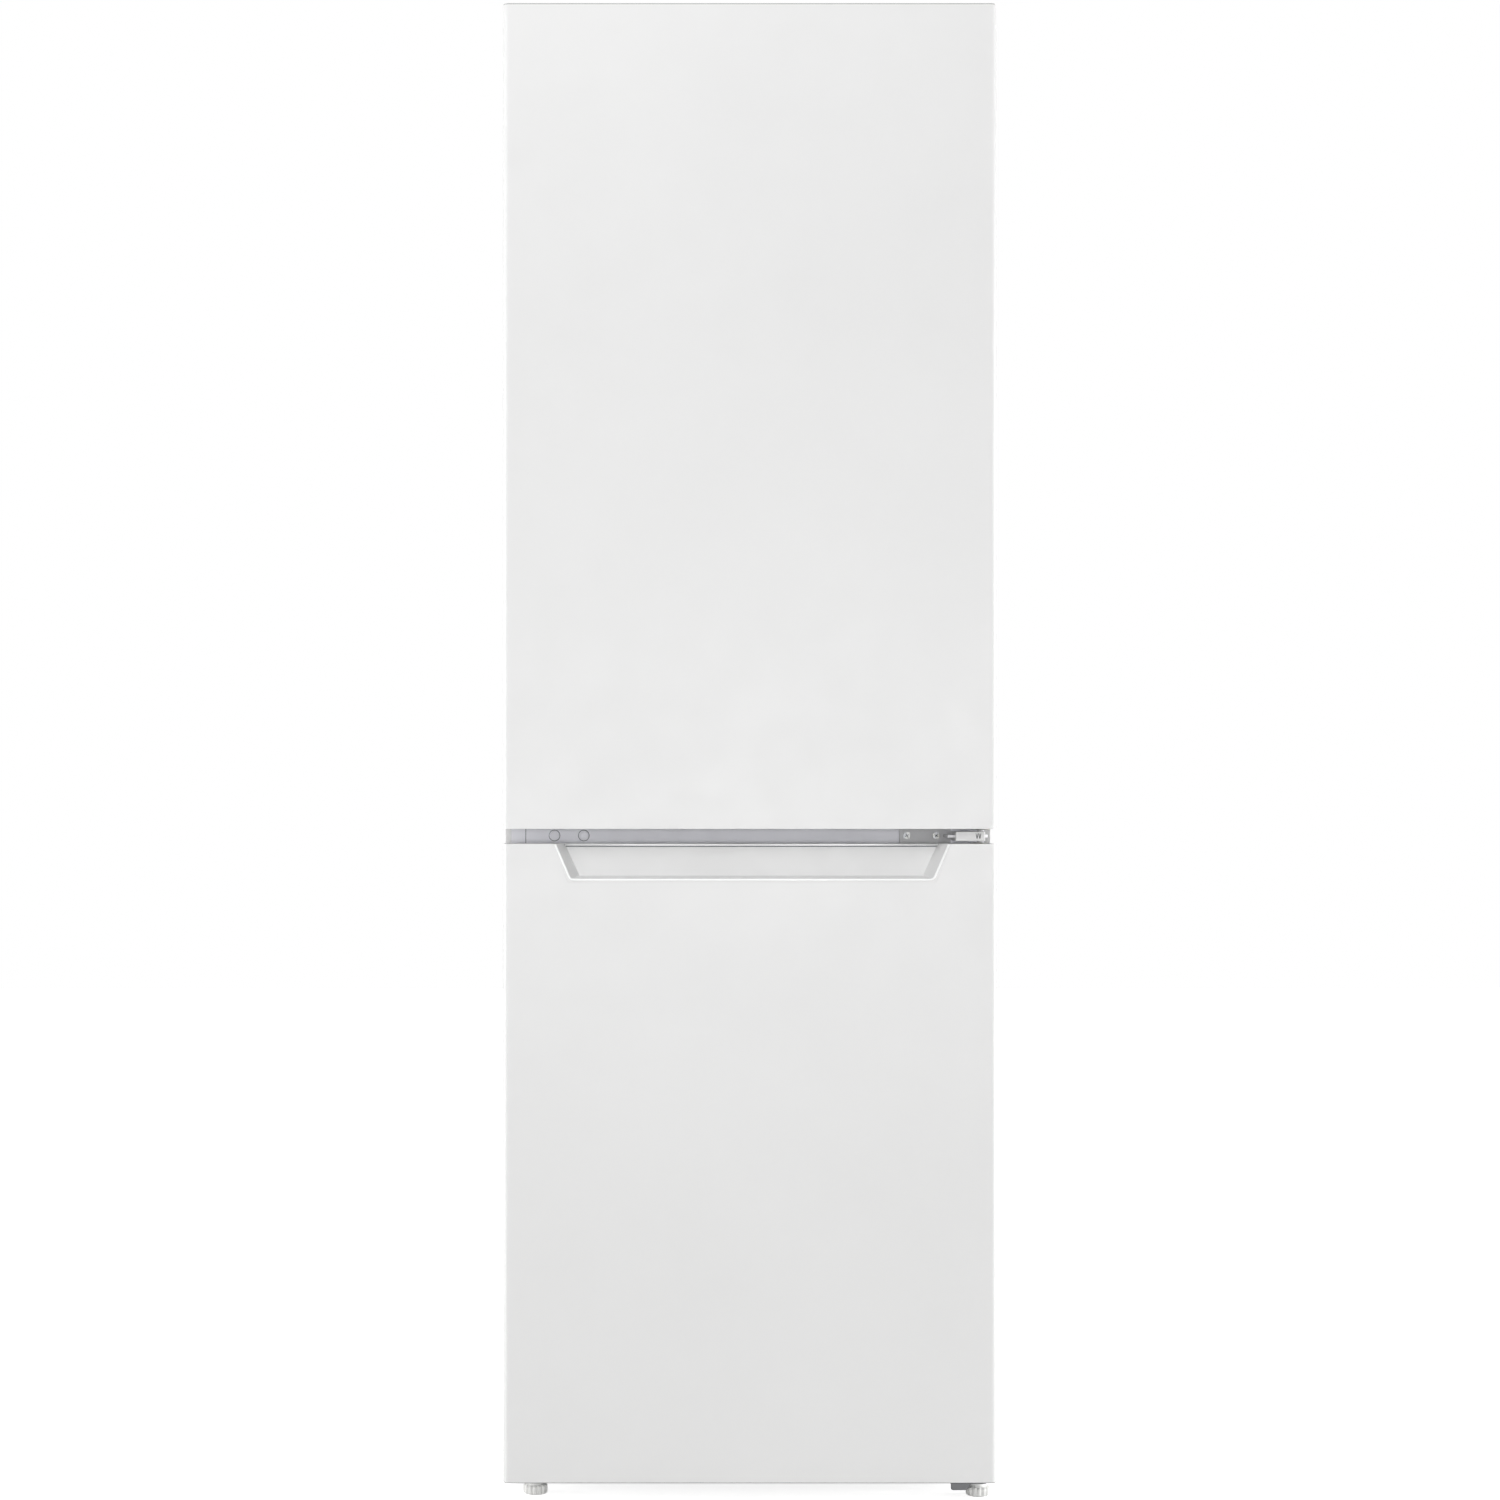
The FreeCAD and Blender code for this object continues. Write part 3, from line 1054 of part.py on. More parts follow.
# Bins on the larder door, clipped between the beads
store([
    ("bin_deep", 100, "door bins, front to back"),
    ("bin_tall", 72, "height of the small bins"),
    ("bottle_bin_tall", 105, "height of the bottle bin"),
    ("bin_first", 85, "more room over the bottle bin than over the others"),
    ("bin_head", 27.7, "top bin to the beads' upper end"),
    ("bin_wall", 2, "walls of the bins"),
    ("bin_corner", 14, "upright corners of the bins"),
])
BIN_HALF = "(%s - dike_wide - rest_gap)" % DIKE_HALF
BIN_LOW = "(%s + dike_wide + rest_gap)" % DIKE_LOW
BIN_RISE = "(%s - dike_wide - bin_head - bin_tall - %s - bin_first)" % (DIKE_HIGH, BIN_LOW)


def door_bin(name, low, height):
    return tray(name, ("-%s" % BIN_HALF, "%s + rest_gap" % DOOR_BACK, low),
                (BIN_HALF, "%s + bin_deep" % DOOR_BACK, "%s + %s" % (low, height)), "bin_wall", "bin_corner")


door_bin("bottle_bin", BIN_LOW, "bottle_bin_tall")
group("shelf_bins", [
    door_bin("shelf_bin_%d" % index, "(%s + bin_first + %s * %d / 3)" % (BIN_LOW, BIN_RISE, index), "bin_tall")
    for index in range(1, 4)
])

# Control housing on the larder's ceiling, with knob, lamp and light switch
store([
    ("control_half", 95, "half width of the control housing"),
    ("control_front", 45, "control housing behind the cabinet's front"),
    ("control_deep", 150, "control housing, front to back"),
    ("control_tall", 40, "height of the control housing"),
    ("control_corner", 6, "corners of the control housing"),
    ("knob_radius", 16, "thermostat knob"),
    ("knob_deep", 10, "thermostat knob, front to back"),
    ("knob_right", 45, "thermostat knob right of the middle"),
    ("knob_bar", 3, "grip bar of the knob, half width"),
    ("lens_half", 34, "half width of the lamp lens"),
    ("lens_left", 35, "lamp lens left of the middle"),
    ("lens_deep", 90, "lamp lens, front to back"),
    ("lens_tall", 11, "height of the lamp lens"),
    ("switch_left", 60, "light switch left of the middle"),
    ("switch_radius", 4, "light switch plunger"),
    ("switch_seat", 12, "light switch plunger inside its housing"),
])
CONTROL_FRONT = "(%s + control_front)" % FRONT
CONTROL_LOW = "(%s - control_tall)" % LARDER_ROOF
KNOB_LEVEL = "(%s - control_tall / 2)" % LARDER_ROOF
cut("control_housing", rounded_block(
    "control_blank",
    ("-control_half", CONTROL_FRONT, CONTROL_LOW),
    ("control_half", "%s + control_deep" % CONTROL_FRONT, LARDER_ROOF),
    "control_corner",
), [
    rod("switch_bore", "y", ("-switch_left", "%s - overrun" % CONTROL_FRONT, KNOB_LEVEL),
        "switch_seat + 2 * overrun", "switch_radius + rest_gap"),
])
fuse("thermostat_knob", [
    rod("knob_disc", "y", ("knob_right", "%s - rest_gap - knob_deep / 2" % CONTROL_FRONT, KNOB_LEVEL),
        "knob_deep / 2", "knob_radius"),
    block("knob_grip", ("knob_right - knob_bar", "%s - rest_gap - knob_deep" % CONTROL_FRONT,
                        "%s - knob_radius + knob_bar" % KNOB_LEVEL),
          ("knob_right + knob_bar", "%s - rest_gap - knob_deep / 2" % CONTROL_FRONT,
           "%s + knob_radius - knob_bar" % KNOB_LEVEL)),
])
rounded_block("lamp_lens", ("-lens_left - lens_half", "%s + control_corner" % CONTROL_FRONT,
                            "%s - lens_tall" % CONTROL_LOW),
              ("lens_half - lens_left", "%s + control_corner + lens_deep" % CONTROL_FRONT, CONTROL_LOW),
              "control_corner")
rod("switch_plunger", "y", ("-switch_left", "%s + rest_gap" % DIKE_BACK, KNOB_LEVEL),
    "%s + switch_seat - %s - rest_gap" % (CONTROL_FRONT, DIKE_BACK), "switch_radius")

# Freezer: three evaporator shelves of bent tube and wires, and the drawers between them
store([
    ("evap_radius", 4, "evaporator tube"),
    ("evap_pitch", 44, "between the runs of the evaporator tube"),
    ("evap_front", 66, "evaporator behind the cabinet's front"),
    ("evap_back", 24, "evaporator in front of the liner's back"),
    ("evap_wire", 1.5, "radius of the evaporator wires"),
    ("evap_wire_pitch", 30, "between the evaporator wires"),
    ("evap_return", 44, "evaporator's return run beside the others"),
    ("drawer_front", 45, "freezer drawers behind the cabinet's front"),
    ("drawer_side", 9.5, "freezer drawers beside the liner's wall"),
    ("drawer_back", 20, "upper drawers in front of the liner's back"),
    ("drawer_gap", 8, "drawers below the tube above them"),
    ("drawer_wall", 2.2, "walls of the freezer drawers"),
    ("drawer_face", 14, "front walls of the freezer drawers"),
    ("drawer_corner", 8, "upright corners of the freezer drawers"),
    ("drawer_grip_half", 80, "half width of the drawers' grip"),
    ("drawer_grip_tall", 24, "height of the drawers' grip"),
    ("drawer_grip_drop", 16, "drawers' grip below their top"),
    ("drawer_grip_deep", 10, "depth of the drawers' grip"),
])
EVAP_HALF = "(%s - evap_radius - rest_gap)" % FREEZER_HALF
EVAP_FRONT = "(%s + evap_front)" % FRONT
EVAP_BACK = "(%s - evap_back)" % INNER_BACK
LEVEL_ONE = "(%s + liner_thick + rest_gap + evap_radius)" % STEP_TOP
LEVEL_TOP = "(%s - rest_gap - 2 * evap_wire - evap_radius)" % FREEZER_ROOF
LEVEL_TWO = "((%s + %s) / 2)" % (LEVEL_ONE, LEVEL_TOP)


coil_gaps = 2 * int((size(EVAP_BACK) - size(EVAP_FRONT)) / size("evap_pitch") / 2)


def coil(name, level):
    """One shelf: runs from side to side, then a return run along the right side."""
    near, far = "(-%s)" % EVAP_HALF, "(%s - evap_return)" % EVAP_HALF
    points = []
    for index in range(coil_gaps + 1):
        along = "(%s - evap_pitch * %d)" % (EVAP_BACK, index)
        ends = (near, far) if index % 2 == 0 else (far, near)
        points += [(ends[0], along, level), (ends[1], along, level)]
    points[-1] = (EVAP_HALF, points[-1][1], level)
    points.append((EVAP_HALF, EVAP_BACK, level))
    return pipe(name, points, "evap_radius", "evap_pitch / 2 - evap_radius")


def wires(name, level):
    """Thin wires across the tube of one shelf, on its upper side."""
    count = int(2 * (size(EVAP_HALF) - size("evap_return")) / size("evap_wire_pitch"))
    return [
        rod("%s_%d" % (name, index), "y", (
            "-%s + evap_wire_pitch * (%d + 1 / 2)" % (EVAP_HALF, index),
            "%s - evap_pitch * %d - evap_radius" % (EVAP_BACK, coil_gaps),
            "%s + evap_radius + evap_wire" % level,
        ), "evap_pitch * %d + 2 * evap_radius" % coil_gaps, "evap_wire")
        for index in range(count)
    ]


evaporator = []
for index, level in enumerate((LEVEL_ONE, LEVEL_TWO, LEVEL_TOP)):
    evaporator.append(coil("coil_%d" % index, level))
    evaporator += wires("coil_wire_%d" % index, level)
group("freezer_evaporator", evaporator)


def drawer(name, low, high, back):
    face = "(%s + drawer_front)" % FRONT
    half = "(%s - drawer_side)" % FREEZER_HALF
    box = tray(name + "_tray", ("-%s" % half, face, low), (half, back, high), "drawer_wall",
               "drawer_corner", "drawer_face")
    return cut(name, box, [
        block(name + "_grip", ("-drawer_grip_half", "%s - overrun" % face,
                               "%s - drawer_grip_drop - drawer_grip_tall" % high),
              ("drawer_grip_half", "%s + drawer_grip_deep" % face, "%s - drawer_grip_drop" % high)),
    ])


ON_WIRES = "evap_radius + 2 * evap_wire + rest_gap"
drawer("drawer_bottom", "(%s + rest_gap)" % FREEZER_FLOOR, "(%s - evap_radius - drawer_gap)" % LEVEL_ONE,
       "(%s - liner_thick - drawer_gap)" % STEP_FRONT)
drawer("drawer_middle", "(%s + %s)" % (LEVEL_ONE, ON_WIRES), "(%s - evap_radius - drawer_gap)" % LEVEL_TWO,
       "(%s - drawer_back)" % INNER_BACK)
drawer("drawer_top", "(%s + %s)" % (LEVEL_TWO, ON_WIRES), "(%s - evap_radius - drawer_gap)" % LEVEL_TOP,
       "(%s - drawer_back)" % INNER_BACK)

# Compressor in its niche
store([
    ("pump_left", 90, "compressor left of the middle"),
    ("pump_back", 96, "compressor behind the niche's front"),
    ("pump_radius", 72, "compressor shell"),
    ("pump_tall", 150, "height of the compressor shell"),
    ("pump_round", 30, "rounded ends of the shell"),
    ("seam_wide", 3, "welded seam proud of the shell"),
    ("seam_half", 3, "half height of the seam"),
    ("mount_wide", 200, "compressor's mounting plate, side to side"),
    ("mount_deep", 120, "compressor's mounting plate, front to back"),
    ("mount_thick", 3, "compressor's mounting plate"),
    ("grommet_tall", 14, "rubber grommets"),
    ("grommet_radius", 11, "rubber grommets, radius"),
    ("grommet_in", 15, "grommets in from the mounting plate's edges"),
    ("terminal_wide", 42, "terminal box, side to side"),
    ("terminal_half", 28, "half depth of the terminal box"),
    ("terminal_low", 45, "mounting plate to the terminal box"),
    ("terminal_tall", 62, "height of the terminal box"),
    ("terminal_corner", 4, "corners of the terminal box"),
    ("basin_half", 76, "half width of the evaporation tray"),
    ("basin_deep", 60, "half depth of the evaporation tray"),
    ("basin_tall", 26, "height of the evaporation tray"),
    ("basin_wall", 2, "walls of the evaporation tray"),
    ("basin_corner", 16, "upright corners of the evaporation tray"),
])
PUMP_X = "(-pump_left)"
PUMP_Y = "(%s + pump_back)" % NICHE_FRONT
MOUNT_LOW = "(cabinet_lift + grommet_tall)"
SHELL_LOW = "(%s + mount_thick)" % MOUNT_LOW
SHELL_TOP = "(%s + pump_tall)" % SHELL_LOW
shell_blank = rod("shell_blank", "z", (PUMP_X, PUMP_Y, SHELL_LOW), "pump_tall", "pump_radius")
doc.recompute()
shell = doc.addObject("Part::Fillet", "pump_shell")
shell.Base = shell_blank
shell.Edges = [
    (index + 1, size("pump_round"), size("pump_round"))
    for index, edge in enumerate(shell_blank.Shape.Edges)
    if len(edge.Vertexes) == 1
]
fuse("compressor", [
    shell,
    rod("pump_seam", "z", (PUMP_X, PUMP_Y, "%s + pump_tall / 2 - seam_half" % SHELL_LOW), "2 * seam_half",
        "pump_radius + seam_wide"),
    rounded_block("pump_mount", ("%s - mount_wide / 2" % PUMP_X, "%s - mount_deep / 2" % PUMP_Y, MOUNT_LOW),
                  ("%s + mount_wide / 2" % PUMP_X, "%s + mount_deep / 2" % PUMP_Y, SHELL_LOW), "grommet_radius"),
])
group("compressor_grommets", [
    rod("grommet_%d_%d" % (side + 1, hand + 1), "z", (
        "%s + (mount_wide / 2 - grommet_in) * %d" % (PUMP_X, side),
        "%s + (mount_deep / 2 - grommet_in) * %d" % (PUMP_Y, hand),
        "cabinet_lift",
    ), "grommet_tall", "grommet_radius")
    for side in (-1, 1) for hand in (-1, 1)
])
TERMINAL_LEFT = "(%s + pump_radius + seam_wide + rest_gap)" % PUMP_X
rounded_block("terminal_box", (TERMINAL_LEFT, "%s - terminal_half" % PUMP_Y, "%s + terminal_low" % SHELL_LOW),
              ("%s + terminal_wide" % TERMINAL_LEFT, "%s + terminal_half" % PUMP_Y,
               "%s + terminal_low + terminal_tall" % SHELL_LOW), "terminal_corner")
BASIN_LOW = "(%s + rest_gap)" % SHELL_TOP
tray("evaporation_tray", ("%s - basin_half" % PUMP_X, "%s - basin_deep" % PUMP_Y, BASIN_LOW),
     ("%s + basin_half" % PUMP_X, "%s + basin_deep" % PUMP_Y, "%s + basin_tall" % BASIN_LOW), "basin_wall",
     "basin_corner")

# Condenser on the back: bent tube, upright wires on both sides, and four clips
store([
    ("cond_stand", 21, "condenser tube behind the back panel"),
    ("cond_radius", 2.4, "condenser tube"),
    ("cond_wire", 0.8, "radius of the condenser wires"),
    ("cond_side", 72.5, "condenser inside the cabinet's sides"),
    ("cond_pitch", 56, "between the runs of the condenser tube"),
    ("cond_low", 40, "niche to the condenser's lowest run"),
    ("cond_top", 90, "condenser below the cabinet's top"),
    ("cond_wire_pitch", 22, "between the condenser wires"),
    ("cond_wire_past", 8, "wires past the outer runs"),
    ("clip_wide", 14, "condenser clips, side to side"),
    ("clip_half", 10, "half height of a condenser clip"),
])
COND_HALF = "(%s - cond_side)" % EDGE
COND_Y = "(%s + cond_stand)" % BACK
COND_LOW = "(%s + cond_low)" % NICHE_TOP
cond_gaps = 2 * int((size(TOP) - size("cond_top") - size(COND_LOW)) / size("cond_pitch") / 2)
cond_points = []
for index in range(cond_gaps + 1):
    level = "(%s + cond_pitch * %d)" % (COND_LOW, index)
    ends = ("-%s" % COND_HALF, COND_HALF) if index % 2 == 0 else (COND_HALF, "-%s" % COND_HALF)
    cond_points += [(ends[0], COND_Y, level), (ends[1], COND_Y, level)]
condenser = [pipe("condenser_tube", cond_points, "cond_radius", "cond_pitch / 2 - cond_radius")]
cond_wires = int(2 * (size(COND_HALF) - size("cond_pitch")) / size("cond_wire_pitch"))
for index in range(cond_wires + 1):
    across = "(cond_wire_pitch * (%d - %d / 2))" % (index, cond_wires)
    for hand in (-1, 1):
        condenser.append(rod(
            "cond_wire_%d_%d" % (index, hand + 1), "z",
            (across, "%s + (cond_radius + cond_wire) * %d" % (COND_Y, hand), "%s - cond_wire_past" % COND_LOW),
            "cond_pitch * %d + 2 * cond_wire_past" % cond_gaps, "cond_wire",
        ))
group("condenser", condenser)
clips = []
for side in (-1, 1):
    for number, index in enumerate((2, cond_gaps - 2)):
        level = "(%s + cond_pitch * %d)" % (COND_LOW, index)
        middle = "((%s - cond_pitch) * %d)" % (COND_HALF, side)
        name = "clip_%d_%d" % (side + 1, number)
        clips.append(cut(name, block(
            name + "_blank",
            ("%s + cond_wire_pitch * %d / 2 - clip_wide / 2" % (middle, side), BACK, "%s - clip_half" % level),
            ("%s + cond_wire_pitch * %d / 2 + clip_wide / 2" % (middle, side), REAR, "%s + clip_half" % level),
        ), [
            block(name + "_slot", (
                "%s - 2 * clip_wide" % middle,
                "%s - cond_radius - rest_gap" % COND_Y,
                "%s - cond_radius - rest_gap" % level,
            ), ("%s + 2 * clip_wide" % middle, "%s + overrun" % REAR, "%s + cond_radius + rest_gap" % level)),
        ]))
group("condenser_clips", clips)

# Pipes between compressor, condenser and evaporators, with the filter drier and the defrost drain
store([
    ("pipe_radius", 3, "refrigerant pipes"),
    ("pipe_bend", 18, "bends of the refrigerant pipes"),
    ("pipe_sink", 4, "pipes into the compressor's shell"),
    ("discharge_low", 30, "mounting plate to the discharge pipe"),
    ("suction_low", 55, "mounting plate to the suction pipe"),
    ("suction_left", 40, "suction pipe left of the compressor"),
    ("drier_radius", 10, "filter drier"),
    ("drier_tall", 110, "height of the filter drier"),
    ("drier_right", 120, "filter drier right of the middle"),
    ("drier_low", 60, "base plate to the filter drier"),
    ("drier_front", 60, "filter drier in front of the back panel"),
    ("drain_radius", 6, "defrost drain"),
    ("drain_bore", 4.6, "bore of the defrost drain"),
    ("drain_bend", 14, "bends of the defrost drain"),
    ("drain_stand", 6.3, "defrost drain behind the back panel"),
    ("drain_above", 30, "defrost drain above the larder's floor"),
    ("drain_right", 20, "defrost drain right of the compressor"),
    ("drain_drop", 14, "defrost drain below the niche's roof"),
    ("drain_in", 40, "defrost drain behind the compressor's middle"),
    ("drain_dip", 12, "defrost drain's end into the tray"),
    ("inlet_side", 85.5, "mains inlet inside the cabinet's right side"),
    ("inlet_wide", 42, "mains inlet, side to side"),
    ("inlet_deep", 32, "mains inlet, front to back"),
    ("inlet_tall", 30, "height of the mains inlet"),
    ("inlet_back", 14, "mains inlet in front of the back panel"),
    ("inlet_corner", 3, "corners of the mains inlet"),
    ("gland_radius", 7, "cable gland of the mains inlet"),
    ("gland_bore", 3.8, "bore of the cable gland"),
    ("gland_long", 9, "cable gland, front to back"),
])
DRIER_X = "drier_right"
DRIER_Y = "(%s - drier_front)" % BACK
DRIER_LOW = "(cabinet_lift + drier_low)"
DRIER_TOP = "(%s + drier_tall)" % DRIER_LOW
fuse("filter_drier", [
    rod("drier_body", "z", (DRIER_X, DRIER_Y, "%s + drier_radius" % DRIER_LOW), "drier_tall - 2 * drier_radius",
        "drier_radius"),
    cone("drier_foot", (DRIER_X, DRIER_Y, DRIER_LOW), "drier_radius", "pipe_radius", "drier_radius"),
    cone("drier_head", (DRIER_X, DRIER_Y, "%s - drier_radius" % DRIER_TOP), "drier_radius", "drier_radius",
         "pipe_radius"),
])
discharge_level = "(%s + discharge_low)" % SHELL_LOW
suction_level = "(%s + suction_low)" % SHELL_LOW

# The back panel carries on below as a folded sheet that lines the niche, with holes for the pipes
WARM_X = "(%s + 3 * pipe_bend)" % DRIER_X
SUCTION_X = "(%s - pump_radius - suction_left)" % PUMP_X
lining = [
    block("niche_roof", ("-%s" % FREEZER_FOAM, NICHE_FRONT, "%s - sheet" % NICHE_TOP), (FREEZER_FOAM, BACK, NICHE_TOP)),
    block("niche_face", ("-%s" % FREEZER_FOAM, NICHE_FRONT, "cabinet_lift"),
          (FREEZER_FOAM, "%s + sheet" % NICHE_FRONT, NICHE_TOP)),
    block("niche_left", ("-%s" % FREEZER_FOAM, NICHE_FRONT, "cabinet_lift"),
          ("sheet - %s" % FREEZER_FOAM, BACK, NICHE_TOP)),
    block("niche_right", ("%s - sheet" % FREEZER_FOAM, NICHE_FRONT, "cabinet_lift"),
          (FREEZER_FOAM, BACK, NICHE_TOP)),
    block("flank_left", ("fold_deep - wide / 2", "%s - sheet" % BACK, "cabinet_lift"),
          ("-%s" % FREEZER_FOAM, BACK, NICHE_TOP)),
    block("flank_right", (FREEZER_FOAM, "%s - sheet" % BACK, "cabinet_lift"),
          ("wide / 2 - fold_deep", BACK, NICHE_TOP)),
]
cut("back_panel", fuse("back_and_niche", [back_sheet] + lining), [
    rod(name + "_hole", "z", (across, along, "%s - sheet - overrun" % NICHE_TOP), "sheet + 2 * overrun",
        "%s + rest_gap" % radius)
    for name, across, along, radius in (
        ("suction", SUCTION_X, PUMP_Y, "pipe_radius"),
        ("capillary", DRIER_X, DRIER_Y, "cond_wire"),
        ("warm", WARM_X, DRIER_Y, "cond_radius"),
    )
])

COND_END = "(%s - cond_pitch / 2)" % COND_LOW
COND_TOP = "(%s + cond_pitch * %d)" % (COND_LOW, cond_gaps)
OUTLET_X = "(%s + cond_pitch / 2)" % COND_HALF
group("refrigerant_pipes", [
    pipe("discharge_pipe", [
        (PUMP_X, "%s + pump_radius - pipe_sink" % PUMP_Y, discharge_level),
        (PUMP_X, COND_Y, discharge_level),
        ("-%s - cond_pitch / 2" % COND_HALF, COND_Y, discharge_level),
        ("-%s - cond_pitch / 2" % COND_HALF, COND_Y, COND_LOW),
        ("-%s" % COND_HALF, COND_Y, COND_LOW),
    ], "cond_radius", "pipe_bend"),
    pipe("outlet_pipe", [
        (COND_HALF, COND_Y, COND_TOP),
        (OUTLET_X, COND_Y, COND_TOP),
        (OUTLET_X, BACK, COND_TOP),
    ], "cond_radius", "pipe_bend"),
    pipe("suction_pipe", [
        ("%s - pump_radius + pipe_sink" % PUMP_X, PUMP_Y, suction_level),
        (SUCTION_X, PUMP_Y, suction_level),
        (SUCTION_X, PUMP_Y, NICHE_TOP),
    ], "pipe_radius", "pipe_bend"),
    pipe("capillary_pipe", [(DRIER_X, DRIER_Y, DRIER_TOP), (DRIER_X, DRIER_Y, NICHE_TOP)], "cond_wire",
         "pipe_bend"),
    pipe("warm_pipe", [
        (DRIER_X, DRIER_Y, DRIER_LOW),
        (DRIER_X, DRIER_Y, "%s - 2 * pipe_bend" % DRIER_LOW),
        (WARM_X, DRIER_Y, "%s - 2 * pipe_bend" % DRIER_LOW),
        (WARM_X, DRIER_Y, NICHE_TOP),
    ], "cond_radius", "pipe_bend"),
])
DRAIN_X = "(%s + drain_right)" % PUMP_X
DRAIN_Y = "(%s + drain_stand)" % BACK
drain_points = [
    (DRAIN_X, DRAIN_Y, "%s + drain_above" % LARDER_FLOOR),
    (DRAIN_X, DRAIN_Y, "%s - drain_drop" % NICHE_TOP),
    (DRAIN_X, "%s + drain_in" % PUMP_Y, "%s - drain_drop" % NICHE_TOP),
    (DRAIN_X, "%s + drain_in" % PUMP_Y, "%s + basin_tall - drain_dip" % BASIN_LOW),
]
cut("drain_tube", pipe("drain_outside", drain_points, "drain_radius", "drain_bend"), [
    pipe("drain_inside", drain_points, "drain_bore", "drain_bend"),
])
INLET_LEFT = "(%s - inlet_side - inlet_wide)" % EDGE
INLET_BACK = "(%s - inlet_back)" % BACK
cut("mains_inlet", fuse("inlet_body", [
    rounded_block("inlet_box", (INLET_LEFT, "%s - inlet_deep" % INLET_BACK, "cabinet_lift"),
                  ("%s + inlet_wide" % INLET_LEFT, INLET_BACK, "cabinet_lift + inlet_tall"), "inlet_corner"),
    rod("gland", "y", ("%s + inlet_wide / 2" % INLET_LEFT, INLET_BACK, "cabinet_lift + inlet_tall / 2"),
        "gland_long", "gland_radius"),
]), [
    rod("gland_hole", "y", ("%s + inlet_wide / 2" % INLET_LEFT, "%s - gland_long" % INLET_BACK,
                            "cabinet_lift + inlet_tall / 2"), "2 * gland_long + overrun", "gland_bore"),
])

# Screws of the hinge plates: a head outside, a shank through the plate into what carries it
screws = []


def fasten(name, hinge, axis, places, outward, length):
    """Screws on one hinge, and the holes for them. The heads lie on the outward side."""
    turn = "xyz".index(axis)
    holes = []
    for index, start in enumerate(places):
        head, shank, hole = list(start), list(start), list(start)
        head[turn] = start[turn] if outward > 0 else "%s - screw_head" % start[turn]
        shank[turn] = "%s - %s" % (start[turn], length) if outward > 0 else start[turn]
        hole[turn] = "%s - overrun" % shank[turn]
        screws.append(fuse("%s_screw_%d" % (name, index), [
            rod("%s_head_%d" % (name, index), axis, head, "screw_head", "screw_radius"),
            rod("%s_shank_%d" % (name, index), axis, shank, length, "screw_shank"),
        ]))
        holes.append(rod("%s_hole_%d" % (name, index), axis, hole, "%s + 2 * overrun" % length,
                         "screw_shank + turn_gap"))
    return cut(name, hinge, holes)


TOP_FIX = "(%s + plate_thick)" % SEAT_TOP
TOP_FIX_BACK = "(%s + top_plate_back + top_plate_deep - screw_edge)" % FRONT
fasten("top_hinge", top_hinge, "z", [
    ("%s + screw_edge" % TOP_PLATE_LEFT, "%s - screw_pitch" % TOP_FIX_BACK, TOP_FIX),
    ("%s + screw_edge" % TOP_PLATE_LEFT, TOP_FIX_BACK, TOP_FIX),
    ("%s + screw_edge + screw_pitch" % TOP_PLATE_LEFT, TOP_FIX_BACK, TOP_FIX),
], 1, "screw_long")
fasten("middle_hinge", middle_hinge, "y", [
    ("%s + screw_edge" % PLATE_LEFT, MIDDLE_FACE, MIDDLE),
    ("%s + screw_edge + screw_pitch" % PLATE_LEFT, MIDDLE_FACE, MIDDLE),
], -1, "screw_long")
BOTTOM_FIX = "(%s + rest_gap + riser_deep / 2)" % FRONT
BOTTOM_FIX_BACK = "(%s - arm_half + bottom_plate_deep - riser_deep / 2)" % AXIS_Y
fasten("bottom_hinge", bottom_hinge, "z", [
    ("%s + screw_edge" % BOTTOM_LEFT, along, BOTTOM_LOW)
    for along in (BOTTOM_FIX, BOTTOM_FIX_BACK)
] + [
    ("%s - screw_edge" % BOTTOM_RIGHT, along, BOTTOM_LOW)
    for along in (BOTTOM_FIX, BOTTOM_FIX_BACK)
], -1, "riser_screw_long")
group("hinge_screws", screws)

NODES = [
    "side_panel_left", "side_panel_right", "top_panel", "back_panel", "base_plate", "bottom_rail", "insulation",
    "fridge_liner", "freezer_liner", "middle_beam", "beam_cover", "hole_plugs", "cold_plate",
    "freezer_evaporator", "compressor", "compressor_grommets", "terminal_box", "evaporation_tray", "condenser",
    "condenser_clips", "filter_drier", "refrigerant_pipes", "drain_tube", "mains_inlet",
    "glass_shelves", "shelf_trims", "control_housing", "lamp_lens",
    "top_hinge", "middle_hinge", "bottom_hinge", "hinge_covers", "hinge_screws",
    "thermostat_knob", "switch_plunger", "crisper", "drawer_top", "drawer_middle", "drawer_bottom",
    "upper_door_skin", "upper_door_foam", "upper_door_panel", "upper_door_top_cap", "upper_door_bottom_cap",
    "upper_door_seal", "upper_door_bushings", "bottle_bin", "shelf_bins",
    "lower_door_skin", "lower_door_foam", "lower_door_panel", "lower_door_top_cap", "lower_door_bottom_cap",
    "lower_door_seal", "lower_door_bushings",
    "foot_left", "foot_right", "roller_left", "roller_right",
]

doc.recompute()
failed = [piece.Name for piece in doc.Objects if {"Invalid", "Error"} & set(piece.State)]
if failed:
    raise RuntimeError("failed objects: %s" % ", ".join(failed))
for node in NODES:
    piece = doc.getObject(node)
    if piece is None or piece.Label != node:
        raise RuntimeError("no sub-part named " + node)
    if piece.Shape.isNull() or not piece.Shape.isValid() or not piece.Shape.Solids:
        raise RuntimeError("no valid shape for " + node)

os.makedirs("parts", exist_ok=True)
for node in NODES:
    doc.getObject(node).Shape.exportStep("parts/%s.step" % node)
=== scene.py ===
import math

